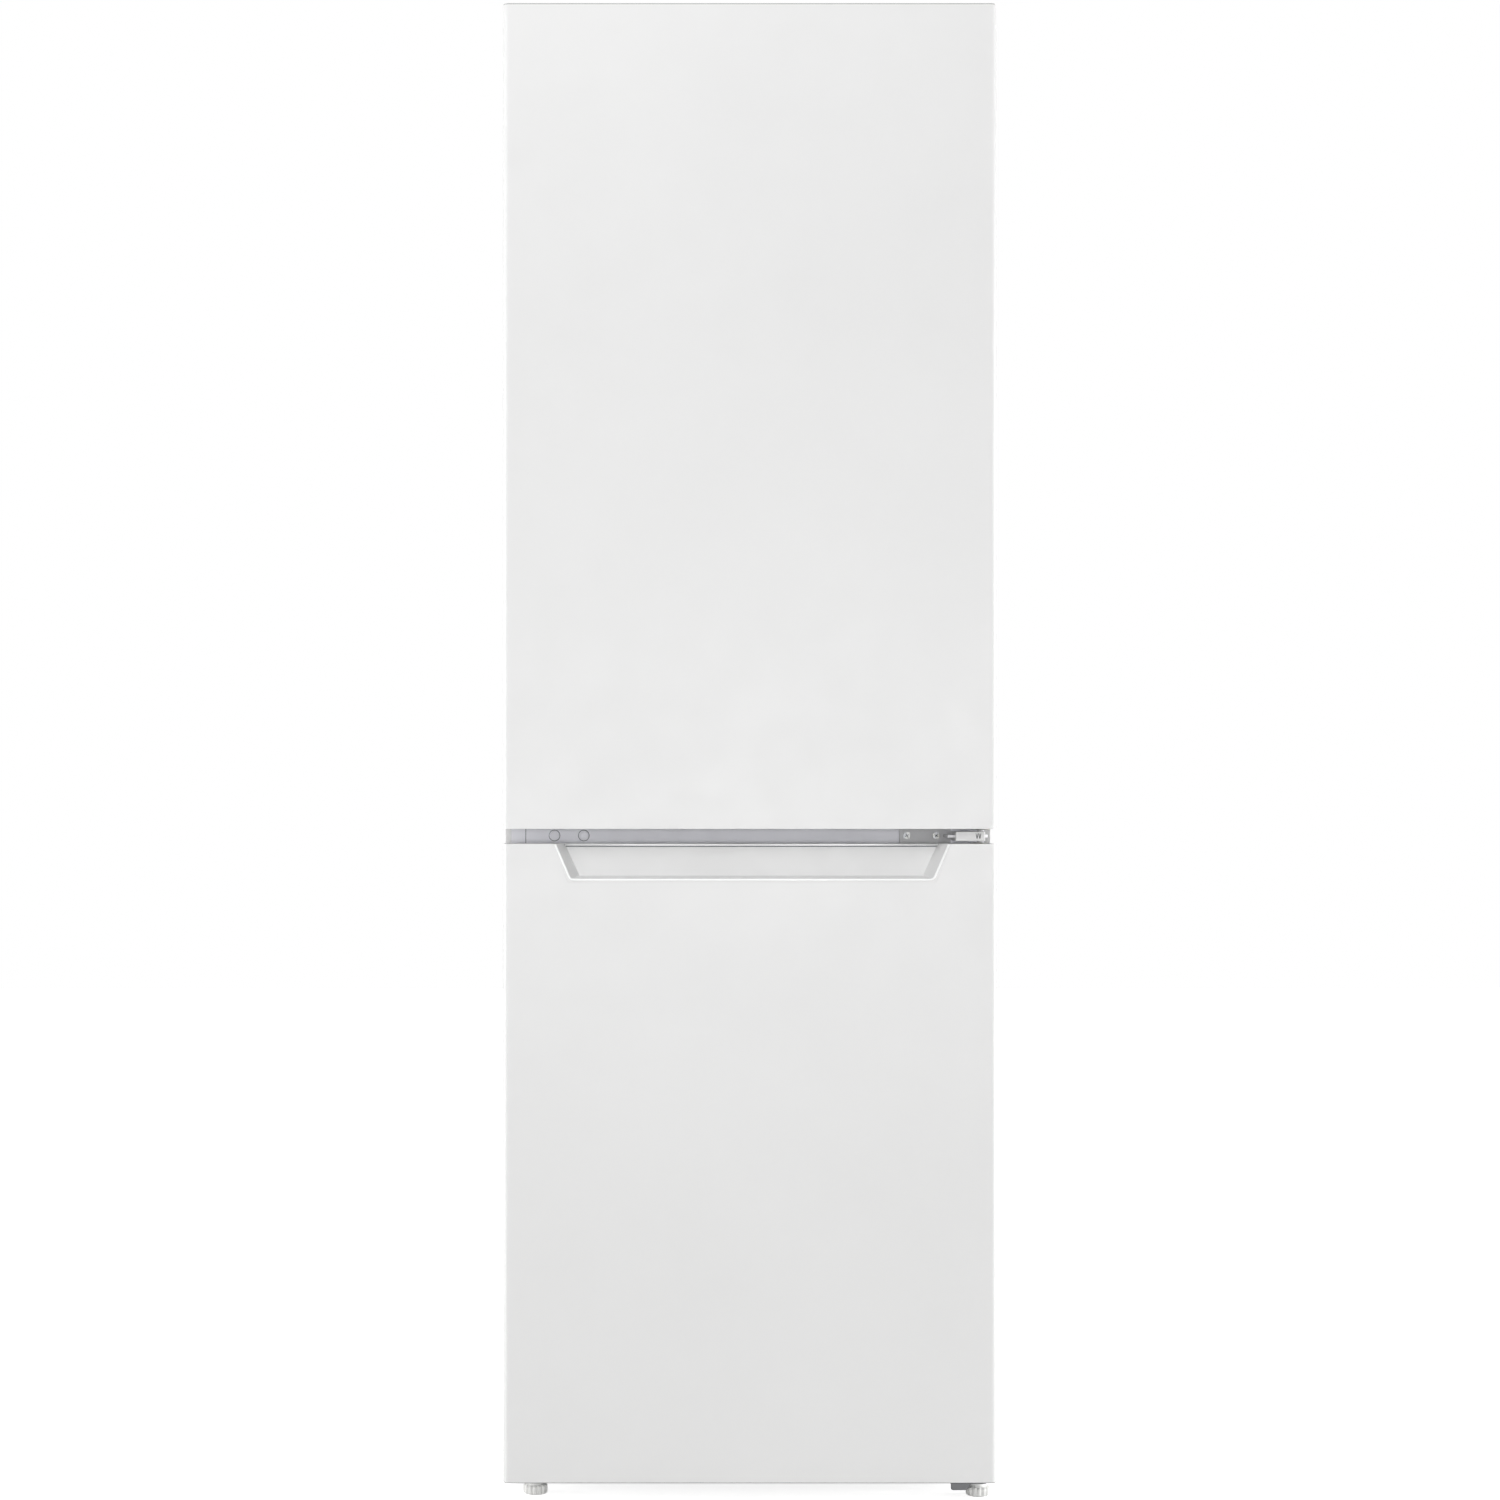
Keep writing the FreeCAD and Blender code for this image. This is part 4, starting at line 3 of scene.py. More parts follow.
import bmesh
import bpy
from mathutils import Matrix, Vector


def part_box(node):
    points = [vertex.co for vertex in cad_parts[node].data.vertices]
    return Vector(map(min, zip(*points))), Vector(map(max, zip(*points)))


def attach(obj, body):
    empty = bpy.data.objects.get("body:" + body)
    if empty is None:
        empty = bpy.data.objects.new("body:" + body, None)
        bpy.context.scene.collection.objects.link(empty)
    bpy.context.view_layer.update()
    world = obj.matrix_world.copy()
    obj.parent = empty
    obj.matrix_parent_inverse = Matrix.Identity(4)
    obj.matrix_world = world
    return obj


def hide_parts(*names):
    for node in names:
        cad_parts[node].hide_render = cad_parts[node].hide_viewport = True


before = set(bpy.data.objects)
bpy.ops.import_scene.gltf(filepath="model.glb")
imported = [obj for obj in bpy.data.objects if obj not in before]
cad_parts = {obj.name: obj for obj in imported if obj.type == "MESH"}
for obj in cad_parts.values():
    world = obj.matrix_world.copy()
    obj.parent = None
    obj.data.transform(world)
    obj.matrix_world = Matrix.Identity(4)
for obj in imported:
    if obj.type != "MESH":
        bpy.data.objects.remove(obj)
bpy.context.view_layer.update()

bl_info = {
    "name": "Fridge freezer",
    "version": (1, 0, 0),
    "blender": (4, 5, 0),
    "location": "View3D > Sidebar > Fridge freezer",
    "description": "Dresses the fridge freezer's frame with its outer and inner pieces",
    "category": "Object",
}

MM = 0.001


def linear(hex_colour):
    """sRGB hex to linear red, green, blue and alpha."""
    channels = [int(hex_colour[at:at + 2], 16) / 255 for at in (1, 3, 5)]
    return tuple(c / 12.92 if c <= 0.04045 else ((c + 0.055) / 1.055) ** 2.4 for c in channels) + (1.0,)


def lengths(name, text, default):
    """A length that the sidebar shows, given in millimetres."""
    return bpy.props.FloatProperty(name=name, description=text, default=default * MM, min=0, unit="LENGTH")


def colour(name, text, hex_colour):
    """A colour that the sidebar shows."""
    return bpy.props.FloatVectorProperty(name=name, description=text, size=4, subtype="COLOR", min=0, max=1,
                                         default=linear(hex_colour))


class FridgeSizes(bpy.types.PropertyGroup):
    skin_round: lengths("Door edge rounding", "Rounding of the doors' upright front edges", 7)
    lip_width: lengths("Grip lip", "Width of the rounded lip round the grip", 2.5)
    lip_proud: lengths("Grip lip height", "How far the lip stands out of the door's face", 0.9)


class FridgeColours(bpy.types.PropertyGroup):
    enamel: colour("Enamel", "Painted door and side sheets", "#D7D7D7")
    cap: colour("End caps", "Moulded end caps of the doors", "#DADADA")
    liner: colour("Liner", "Inner liners and door panels", "#DBDEDD")
    crossbar: colour("Crossbar", "Crossbar strip between the doors", "#F3F3F9")
    hinge_cover: colour("Hinge cover", "Plastic covers of the hinges", "#D2D2D2")
    hinge: colour("Hinge", "Powder-coated hinge plates", "#D4D4D6")
    foot: colour("Foot", "Knobs of the feet", "#F7F7F5")
    seal: colour("Seal", "Door seals", "#D9D9D6")
    floor: colour("Floor", "Floor and backdrop", "#F4F4F3")


def add(tree, kind, sockets=(), **settings):
    """Adds a node: settings are its properties, sockets its inputs' values or the outputs that feed them."""
    step = tree.nodes.new(kind)
    for name, value in settings.items():
        setattr(step, name, value)
    for name, value in dict(sockets).items():
        if isinstance(value, bpy.types.NodeSocket):
            tree.links.new(value, step.inputs[name])
        else:
            step.inputs[name].default_value = value
    return step


def finish_of(name, base, **values):
    """A material whose Principled shader carries these uniform values on its own sockets."""
    made = bpy.data.materials.new(name)
    made.use_nodes = True
    made.diffuse_color = base
    shader = made.node_tree.nodes["Principled BSDF"]
    shader.inputs["Base Color"].default_value = base
    for socket, value in values.items():
        shader.inputs[socket.replace("_", " ")].default_value = value
    return made, made.node_tree, shader


def grain(tree, size, detail=2.0, rough=0.5, stretch=(1, 1, 1), warp=0.0):
    """Noise with lumps size metres wide on the object, stretched along an axis where a tool dragged it."""
    place = add(tree, "ShaderNodeTexCoord")
    scaled = add(tree, "ShaderNodeMapping", {"Vector": place.outputs["Object"], "Scale": stretch})
    return add(tree, "ShaderNodeTexNoise", {"Vector": scaled.outputs["Vector"], "Scale": 1 / size,
                                            "Detail": detail, "Roughness": rough, "Distortion": warp})


def relief(tree, shader, height, depth):
    """Bump of that depth in metres from a height between 0 and 1."""
    bump = add(tree, "ShaderNodeBump", {"Height": height, "Distance": depth, "Strength": 1.0})
    tree.links.new(bump.outputs["Normal"], shader.inputs["Normal"])


def spread(tree, value, low, high, start=0.35, end=0.65):
    """A value between start and end of a pattern, laid out between low and high."""
    return add(tree, "ShaderNodeMapRange", {"Value": value, "From Min": start, "From Max": end,
                                            "To Min": low, "To Max": high}).outputs["Result"]


def tint(tree, factor, first, second):
    """Blend of two colours by a pattern."""
    mix = add(tree, "ShaderNodeMix", {"Factor": factor}, data_type="RGBA")
    mix.inputs["A"].default_value = first
    mix.inputs["B"].default_value = second
    return mix.outputs["Result"]


def shade(base, amount):
    """The colour made darker (below 1) or lighter (above 1)."""
    return tuple(min(1.0, c * amount) for c in base[:3]) + (1.0,)


def prepainted_steel(base):
    # Coil-coated steel: a smooth satin gloss with the faint orange peel of a baked coat, about 3 mm from
    # crest to crest, and a tone that drifts a little over the sheet
    made, tree, shader = finish_of("prepainted_steel", base, Roughness=0.36, IOR=1.5)
    peel = grain(tree, 3 * MM, detail=1.0)
    relief(tree, shader, peel.outputs["Fac"], 0.012 * MM)
    drift = grain(tree, 240 * MM, detail=2.0)
    tree.links.new(tint(tree, spread(tree, drift.outputs["Fac"], 0, 1), shade(base, 0.985), base),
                   shader.inputs["Base Color"])
    cloud = grain(tree, 45 * MM, detail=3.0)
    tree.links.new(spread(tree, cloud.outputs["Fac"], 0.33, 0.4), shader.inputs["Roughness"])
    return made


def moulded(name, base, gloss, texture, depth, mottle=0.97, fine=3.0, **values):
    """Moulded plastic or a thick coat: texture of that size and depth, and a slight mottle of the pigment."""
    made, tree, shader = finish_of(name, base, Roughness=gloss, IOR=values.pop("IOR", 1.53), **values)
    erosion = grain(tree, texture, detail=fine, rough=0.6)
    relief(tree, shader, erosion.outputs["Fac"], depth)
    flow = grain(tree, 60 * MM, detail=1.0, warp=0.3)
    tree.links.new(tint(tree, spread(tree, flow.outputs["Fac"], 0, 1), shade(base, mottle), base),
                   shader.inputs["Base Color"])
    worn = grain(tree, 14 * MM, detail=fine)
    tree.links.new(spread(tree, worn.outputs["Fac"], gloss * 0.9, min(1.0, gloss * 1.15)),
                   shader.inputs["Roughness"])
    return made


def drawn_metal(name, base, gloss, streak, axis=(1, 1, 1), stain=None, **values):
    """Bare metal: fine streaks of that size from rolling or drawing, and stains of a second colour."""
    made, tree, shader = finish_of(name, base, Metallic=1.0, Roughness=gloss, **values)
    lines = grain(tree, streak, detail=4.0, rough=0.65, stretch=axis)
    tree.links.new(spread(tree, lines.outputs["Fac"], gloss * 0.75, min(1.0, gloss * 1.35), 0.3, 0.7),
                   shader.inputs["Roughness"])
    relief(tree, shader, lines.outputs["Fac"], 0.01 * MM)
    patch = grain(tree, 18 * MM, detail=5.0, rough=0.6)
    stains = spread(tree, patch.outputs["Fac"], 0, 1, 0.42, 0.7)
    tree.links.new(tint(tree, stains, base, stain or shade(base, 0.85)), shader.inputs["Base Color"])
    return made


def galvanised_steel(base):
    # Hot-dip galvanised sheet: flat zinc crystals 4 to 9 mm across, each with its own grey and its own gloss
    made, tree, shader = finish_of("galvanised_steel", base, Metallic=1.0, Roughness=0.42)
    place = add(tree, "ShaderNodeTexCoord")
    bent = add(tree, "ShaderNodeTexNoise", {"Vector": place.outputs["Object"], "Scale": 1 / (9 * MM),
                                            "Detail": 3.0})
    mixed = add(tree, "ShaderNodeMix", {"Factor": 0.006}, data_type="RGBA")
    tree.links.new(place.outputs["Object"], mixed.inputs["A"])
    tree.links.new(bent.outputs["Color"], mixed.inputs["B"])
    crystals = add(tree, "ShaderNodeTexVoronoi", {"Vector": mixed.outputs["Result"], "Scale": 1 / (6.5 * MM)})
    tone = add(tree, "ShaderNodeSeparateColor", {"Color": crystals.outputs["Color"]})
    tree.links.new(tint(tree, tone.outputs["Red"], shade(base, 0.94), shade(base, 1.05)),
                   shader.inputs["Base Color"])
    tree.links.new(spread(tree, tone.outputs["Green"], 0.38, 0.5, 0, 1), shader.inputs["Roughness"])
    return made


def float_glass():
    # Toughened float glass: clear over its face and bottle green at its ground edges, where light runs along
    # the sheet
    clear, edge = linear("#F4FAF7"), linear("#7FB8A2")
    made, tree, shader = finish_of("float_glass", clear, Roughness=0.02, IOR=1.52, Transmission_Weight=1.0,
                                   Alpha=0.7)
    facing = add(tree, "ShaderNodeNewGeometry")
    parts = add(tree, "ShaderNodeSeparateXYZ", {"Vector": facing.outputs["True Normal"]})
    upright = add(tree, "ShaderNodeMath", {0: parts.outputs["Z"]}, operation="ABSOLUTE")
    tree.links.new(tint(tree, spread(tree, upright.outputs[0], 0, 1, 0.3, 0.7), edge, clear),
                   shader.inputs["Base Color"])
    ground = grain(tree, 0.8 * MM, detail=2.0)
    relief(tree, shader, ground.outputs["Fac"], 0.002 * MM)
    return made


def clear_styrene(base):
    # Clear polystyrene: crystal clear with a cold cast, faint flow waves from the gate and a soft gloss
    made, tree, shader = finish_of("clear_polystyrene", base, Roughness=0.05, IOR=1.45,
                                   Transmission_Weight=0.9, Alpha=0.5)
    waves = grain(tree, 26 * MM, detail=2.0, warp=1.2)
    relief(tree, shader, waves.outputs["Fac"], 0.06 * MM)
    tree.links.new(spread(tree, waves.outputs["Fac"], 0.04, 0.1), shader.inputs["Roughness"])
    tree.links.new(tint(tree, spread(tree, waves.outputs["Fac"], 0, 1), shade(base, 0.97), base),
                   shader.inputs["Base Color"])
    return made


def foamed_polyurethane():
    # Poured polyurethane foam: straw colour with open cells under a millimetre wide, drawn at 1.5 mm so that
    # they show
    made, tree, shader = finish_of("poured_polyurethane_foam", linear("#DCC98F"), Roughness=0.85, IOR=1.5)
    place = add(tree, "ShaderNodeTexCoord")
    cells = add(tree, "ShaderNodeTexVoronoi", {"Vector": place.outputs["Object"], "Scale": 1 / (1.5 * MM)})
    relief(tree, shader, cells.outputs["Distance"], 0.4 * MM)
    tree.links.new(tint(tree, spread(tree, cells.outputs["Distance"], 0, 1, 0, 0.8), linear("#E4D39B"),
                        linear("#B99F5E")), shader.inputs["Base Color"])
    return made


def finishes(colours):
    """Every finish on the object, by the name that the pieces ask for."""
    plastic = {
        # Vacuum-formed high-impact polystyrene: satin, with the faint leathery relief of a stretched sheet
        "formed_hips": moulded("vacuum_formed_hips", colours.liner, 0.36, 6 * MM, 0.015 * MM, 0.985, 1.0),
        # Injection-moulded ABS end caps: a satin close to the enamel's, with a fine sparked texture
        "satin_abs": moulded("moulded_abs", colours.cap, 0.42, 0.9 * MM, 0.012 * MM),
        # ABS strip and plugs of the crossbar: off-white with a cold cast, grey only in the gap's shade
        "grey_abs": moulded("moulded_grey_abs", colours.crossbar, 0.5, 0.9 * MM, 0.02 * MM),
        # Light grey ABS covers: a little gloss and a fine sparked texture
        "light_abs": moulded("moulded_light_abs", colours.hinge_cover, 0.4, 0.9 * MM, 0.012 * MM),
        # White ABS of the housing, trims and knob: bright and glossier than the liner
        "white_abs": moulded("moulded_white_abs", linear("#F3F4F4"), 0.34, 1.1 * MM, 0.008 * MM),
        # Glass-filled polyamide knobs: matt with swirls of the filler
        "filled_polyamide": moulded("glass_filled_polyamide", colours.foot, 0.58, 1.2 * MM, 0.04 * MM, 0.93),
        # Turned acetal bushings: waxy white, slightly see-through at the rim
        "turned_acetal": moulded("turned_acetal", linear("#F2F2EC"), 0.35, 0.8 * MM, 0.006 * MM,
                                 Subsurface_Weight=0.08, Subsurface_Scale=0.002),
        # Black polypropylene tray and boxes: dark satin that greys where it was handled; also the painted
        # shade in screws' recesses
        "black_pp_and_painted_recess_shade": moulded("black_polypropylene_and_painted_recess_shade", linear("#26272A"), 0.46, 1.0 * MM,
                                       0.03 * MM, 0.8),
        # Extruded soft PVC seal: matt light grey that looks slightly greasy
        "extruded_pvc": moulded("extruded_soft_pvc", colours.seal, 0.62, 1.6 * MM, 0.02 * MM, 0.96,
                                Sheen_Weight=0.12, IOR=1.52),
        # Pad-printed marks, thin joints and the painted shade under the grip's bead: a flat grey
        "print_and_shade_grey": moulded("grey_ink_and_painted_shade", linear("#6E7276"), 0.55, 0.8 * MM, 0.004 * MM),
        # Matt dark grey: a fine line of painted shade round the doors' ends, and the hook marks of the hinge
        # cover
        "marks_and_shade_line_grey": moulded("extruded_grey_edging", linear("#38393B"), 0.6, 0.8 * MM, 0.01 * MM),
        # Moulded EPDM grommets: dead matt black with a dusty bloom
        "moulded_epdm": moulded("moulded_epdm", linear("#1D1D1E"), 0.8, 0.9 * MM, 0.03 * MM, 0.75, IOR=1.5),
        # Baked polyester powder on steel: light grey, fine orange peel and a dry satin
        "powder_coat": moulded("polyester_powder_coat", colours.hinge, 0.5, 1.4 * MM, 0.05 * MM, 0.92,
                               IOR=1.5),
        # The same powder in dark grey, on the bottom hinge and the front rail
        "dark_powder": moulded("dark_polyester_powder_coat", linear("#737477"), 0.48, 1.4 * MM, 0.05 * MM,
                               0.92, IOR=1.5),
        # Dipped black enamel of the compressor and condenser: gloss with runs and dull patches
        "dipped_enamel": moulded("dipped_black_enamel", linear("#1B1C1E"), 0.34, 5 * MM, 0.12 * MM, 0.7),
        # White epoxy over the evaporator's steel tube: thick gloss that softens every edge
        "epoxy_coat": moulded("white_epoxy_coat", linear("#EFF1F1"), 0.34, 3 * MM, 0.05 * MM),
    }
    metal = {
        # Zinc-plated screws: bright, cold and slightly milky
        "zinc_plate": drawn_metal("zinc_plated_steel", linear("#9B9DA0"), 0.42, 0.9 * MM,
                                  stain=linear("#B5B3A6")),
        # Drawn copper tube: pink where bare, brown where the flame and air have been
        "drawn_copper": drawn_metal("drawn_copper", linear("#C77F5C"), 0.38, 1.2 * MM, (1, 1, 0.2),
                                    linear("#7C4A35")),
        # Rolled aluminium plate: soft grain across the sheet
        "rolled_aluminium": drawn_metal("rolled_aluminium", linear("#D4D6D8"), 0.38, 1.0 * MM, (0.05, 1, 1)),
    }
    sheets = {"prepainted_steel": prepainted_steel(colours.enamel),
              "galvanised_steel": galvanised_steel(linear("#B9BDC0")),
              "float_glass": float_glass(),
              "clear_styrene": clear_styrene(linear("#FAFDFF")),
              "foam": foamed_polyurethane()}
    return {**sheets, **plastic, **metal}


# Filled by the operator that dresses the frame, and used by every piece after it
FINISHES = {}

# The nodes that wear each finish
WORN_BY = {
    "prepainted_steel": ("side_panel_left", "side_panel_right", "top_panel", "upper_door_skin",
                         "lower_door_skin"),
    "galvanised_steel": ("back_panel", "base_plate"),
    "powder_coat": ("top_hinge", "middle_hinge"),
    "dark_powder": ("bottom_hinge", "bottom_rail"),
    "formed_hips": ("fridge_liner", "freezer_liner", "upper_door_panel", "lower_door_panel"),
    "satin_abs": ("upper_door_top_cap", "upper_door_bottom_cap", "lower_door_top_cap",
                  "lower_door_bottom_cap"),
    "grey_abs": ("beam_cover", "hole_plugs", "middle_beam"),
    "light_abs": ("hinge_covers",),
    "white_abs": ("control_housing", "thermostat_knob", "switch_plunger", "shelf_trims"),
    "filled_polyamide": ("foot_left", "foot_right", "roller_left", "roller_right"),
    "turned_acetal": ("upper_door_bushings", "lower_door_bushings"),
    "black_pp_and_painted_recess_shade": ("terminal_box", "evaporation_tray", "mains_inlet", "condenser_clips",
                            "drain_tube"),
    "extruded_pvc": ("upper_door_seal", "lower_door_seal"),
    "moulded_epdm": ("compressor_grommets",),
    "dipped_enamel": ("compressor", "condenser"),
    "epoxy_coat": ("freezer_evaporator",),
    "zinc_plate": ("hinge_screws",),
    "drawn_copper": ("refrigerant_pipes", "filter_drier"),
    "rolled_aluminium": ("cold_plate",),
    "float_glass": ("glass_shelves",),
    "clear_styrene": ("bottle_bin", "shelf_bins", "crisper", "drawer_top", "drawer_middle", "drawer_bottom",
                      "lamp_lens"),
    "foam": ("insulation", "upper_door_foam", "lower_door_foam"),
}

# The nodes whose sharp edges are broken, by the width in millimetres
BROKEN_EDGES = {
    0.3: ("upper_door_skin", "lower_door_skin"),
    0.4: ("side_panel_left", "side_panel_right"),
    0.5: ("crisper", "bottle_bin", "shelf_bins", "middle_hinge"),
    0.6: ("drawer_top", "drawer_middle", "drawer_bottom", "top_hinge", "bottom_hinge"),
    0.7: ("shelf_trims",),
    0.8: ("top_panel", "beam_cover", "evaporation_tray"),
    0.9: ("upper_door_top_cap", "upper_door_bottom_cap", "lower_door_top_cap", "lower_door_bottom_cap",
          "hinge_covers"),
    1.0: ("fridge_liner", "freezer_liner", "mains_inlet"),
    1.2: ("terminal_box",),
    1.5: ("lamp_lens",),
    2.0: ("control_housing",),
    2.5: ("upper_door_panel",),
    3.0: ("lower_door_panel",),
}
EDGES = {node: width for width, nodes in BROKEN_EDGES.items() for node in nodes}

# Nodes with large openings, whose faces keep their own triangles
WHOLE = ("fridge_liner", "freezer_liner", "insulation", "upper_door_skin", "lower_door_skin")


def dress(node, made, edge):
    """Gives a carried node its finish and breaks its sharp edges."""
    weld_within, flat_degrees, sharp_degrees, face_weight = 0.01 * MM, 0.6, 38, 60
    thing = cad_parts[node]
    for slot in range(max(1, len(thing.material_slots))):
        if slot >= len(thing.data.materials):
            thing.data.materials.append(made)
        thing.material_slots[slot].material = made
    thing.data.polygons.foreach_set("use_smooth", [True] * len(thing.data.polygons))
    weld = thing.modifiers.new("weld", "WELD")
    weld.merge_threshold = weld_within
    if node not in WHOLE:
        flat = thing.modifiers.new("flats", "DECIMATE")
        flat.decimate_type = "DISSOLVE"
        flat.angle_limit = math.radians(flat_degrees)
        flat.delimit = {"NORMAL"}
    if edge:
        soft = thing.modifiers.new("edges", "BEVEL")
        soft.width = edge * MM
        soft.segments = 2
        soft.limit_method = "ANGLE"
        soft.angle_limit = math.radians(sharp_degrees)
        soft.use_clamp_overlap = True
    even = thing.modifiers.new("shading", "WEIGHTED_NORMAL")
    even.keep_sharp = True
    even.weight = face_weight


def place_piece(name, shape, finish, body, stands_for=(), smooth=True):
    """Turns a finished bmesh into a piece that wears a finish, rides on its body and hides the nodes it
    stands for.
    """
    mesh = bpy.data.meshes.new(name)
    bmesh.ops.remove_doubles(shape, verts=shape.verts, dist=1e-7)
    bmesh.ops.recalc_face_normals(shape, faces=shape.faces)
    shape.to_mesh(mesh)
    shape.free()
    mesh.polygons.foreach_set("use_smooth", [smooth] * len(mesh.polygons))
    mesh.materials.append(FINISHES[finish])
    piece = bpy.data.objects.new(name, mesh)
    bpy.context.scene.collection.objects.link(piece)
    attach(piece, body)
    if stands_for:
        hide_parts(*stands_for)
    return piece


def soften(piece, width, angle=35, segments=2):
    """Rounds a new piece's sharp edges and evens its shading."""
    soft = piece.modifiers.new("edges", "BEVEL")
    soft.width = width
    soft.segments = segments
    soft.limit_method = "ANGLE"
    soft.angle_limit = math.radians(angle)
    even = piece.modifiers.new("shading", "WEIGHTED_NORMAL")
    even.keep_sharp = True


def band(shape, rows, joined=False):
    """Faces between neighbouring closed rows of points, and from the last to the first where joined."""
    made = [[shape.verts.new(point) for point in row] for row in rows]
    if joined:
        made.append(made[0])
    for one, two in zip(made, made[1:]):
        for at in range(len(one)):
            after = (at + 1) % len(one)
            shape.faces.new((one[at], one[after], two[after], two[at]))
    return made


def closed_band(shape, rows):
    """A band with a face on its first row and one on its last."""
    made = band(shape, rows)
    for row in (made[0], made[-1]):
        shape.faces.new(row)


def turned(shape, profile, centre, axis=2, steps=48, lobes=0, depth=0.0, fluted=()):
    """A turned body: profile holds (radius, height) pairs, and its fluted rows have rounded grooves."""
    rows = []
    for index, (radius, height) in enumerate(profile):
        row = []
        for step in range(steps):
            turn = 2 * math.pi * step / steps
            reach = radius
            if index in fluted:
                reach -= depth * abs(math.cos(lobes * turn / 2)) ** 6
            flat = [reach * math.cos(turn), reach * math.sin(turn)]
            flat.insert(axis, height)
            row.append(Vector(flat) + Vector(centre))
        rows.append(row)
    closed_band(shape, rows)


def neighbours(points, at):
    """The points before and after one, or the end point itself at either end."""
    return points[max(at - 1, 0)], points[min(at + 1, len(points) - 1)]


def tube(shape, points, radius, sides=12):
    """A round tube along points, kept square to its run at every point."""
    points = [Vector(point) for point in points]
    rows = []
    side = None
    for at, point in enumerate(points):
        before, after = neighbours(points, at)
        along = (after - before).normalized()
        if side is None:
            side = along.orthogonal().normalized()
        side = (side - along * side.dot(along)).normalized()
        other = along.cross(side)
        turns = [2 * math.pi * k / sides for k in range(sides)]
        rows.append([point + (side * math.cos(turn) + other * math.sin(turn)) * radius for turn in turns])
    closed_band(shape, rows)


def slab(shape, low, high):
    """A block between two corners."""
    corners = [shape.verts.new((x, y, z))
               for x in (low[0], high[0]) for y in (low[1], high[1]) for z in (low[2], high[2])]
    for face in ((0, 1, 3, 2), (4, 6, 7, 5), (0, 4, 5, 1), (2, 3, 7, 6), (0, 2, 6, 4), (1, 5, 7, 3)):
        shape.faces.new([corners[at] for at in face])


def in_metres(pairs):
    """Pairs of millimetres turned to metres."""
    return [(one * MM, two * MM) for one, two in pairs]


class FRIDGE_OT_feet(bpy.types.Operator):
    """Levelling feet: fluted knobs with a neck below their threaded studs"""
    bl_idname = "fridge.feet"
    bl_label = "Feet"

    def execute(self, context):
        # Radius and height from the floor: base and its rounding, straight grip, shoulder, neck
        knob = [(9, 0.2), (12.2, 0), (13.6, 0.5), (14.6, 1.4), (15, 2.6), (15, 4.6), (15, 6.8), (15, 8.8),
                (14.6, 10), (13.4, 10.8), (11.6, 11.2), (10.4, 11.4), (9.8, 12.2), (9.8, 17)]
        first_fluted, last_fluted = 3, 9
        grooves, groove_deep = 14, 2.0 * MM
        neck_radius, neck_short = 9.3, 0.2
        for name in ("foot_left", "foot_right"):
            low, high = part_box(name)
            x, y = (low.x + high.x) / 2, (low.y + high.y) / 2
            shape = bmesh.new()
            turned(shape, in_metres(knob + [(neck_radius, high.z / MM - neck_short)]), (x, y, 0),
                   steps=10 * grooves, lobes=grooves, depth=groove_deep,
                   fluted=range(first_fluted, last_fluted + 1))
            place_piece(name + "_knob", shape, "filled_polyamide", name, (name,))
        return {"FINISHED"}


class FRIDGE_OT_grip(bpy.types.Operator):
    """Rounded lip down the grip's sides and along its foot; bead above its back, with joint and painted shade
    below
    """
    bl_idname = "fridge.grip"
    bl_label = "Grip lip"

    def execute(self, context):
        sizes = context.scene.fridge_sizes
        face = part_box("lower_door_skin")[0].y
        top, foot = 794.6 * MM, 752 * MM
        left, right, slant = -234.5 * MM, 239.5 * MM, 18.25 * MM
        corner_reach, corner_steps = 5 * MM, 6
        lip_steps, lip_root = 8, 0.6 * MM
        line = [Vector(place) for place in ((left, 0, top), (left + slant, 0, foot), (right - slant, 0, foot),
                                            (right, 0, top))]
        path = [line[0]]
        for before, corner, after in zip(line, line[1:], line[2:]):
            start = corner.lerp(before, corner_reach / (before - corner).length)
            end = corner.lerp(after, corner_reach / (after - corner).length)
            for share in [k / corner_steps for k in range(corner_steps + 1)]:
                path.append(start.lerp(corner, share).lerp(corner.lerp(end, share), share))
        path.append(line[-1])
        rows = []
        for at, point in enumerate(path):
            before, after = neighbours(path, at)
            along = (after - before).normalized()
            out = Vector((along.z, 0, -along.x)) * sizes.lip_width / 2
            turns = [math.pi * step / lip_steps for step in range(lip_steps + 1)]
            row = [point + out * math.cos(turn) + Vector((0, face - math.sin(turn) * sizes.lip_proud, 0))
                   for turn in turns]
            root = point + Vector((0, face + lip_root, 0))
            rows.append(row + [root - out, root + out])
        lip = bmesh.new()
        closed_band(lip, rows)
        place_piece("grip_lip", lip, "white_abs", "lower_door")
        back = face + 28 * MM
        bead_in, bead_low, bead_proud, bead_radius = 11 * MM, 1 * MM, 2 * MM, 1.3 * MM
        ends = [(x, back - bead_proud, top - bead_low) for x in (left + bead_in, right - bead_in)]
        bead = bmesh.new()
        tube(bead, ends, bead_radius, sides=16)
        place_piece("grip_bead", bead, "white_abs", "lower_door")
        # A dark joint line under the bead that also paints the shade the bead casts on the grip's back
        shade_line_in, shade_line_high, shade_line_low = 11.5 * MM, 2.2 * MM, 3.7 * MM
        dark_line_proud, dark_line_sunk = 0.25 * MM, 0.2 * MM
        grip_joint_and_shade = bmesh.new()
        slab(grip_joint_and_shade, (left + shade_line_in, back - dark_line_proud, top - shade_line_low),
             (right - shade_line_in, back + dark_line_sunk, top - shade_line_high))
        place_piece("grip_shade_line", grip_joint_and_shade, "print_and_shade_grey", "lower_door", smooth=False)
        return {"FINISHED"}


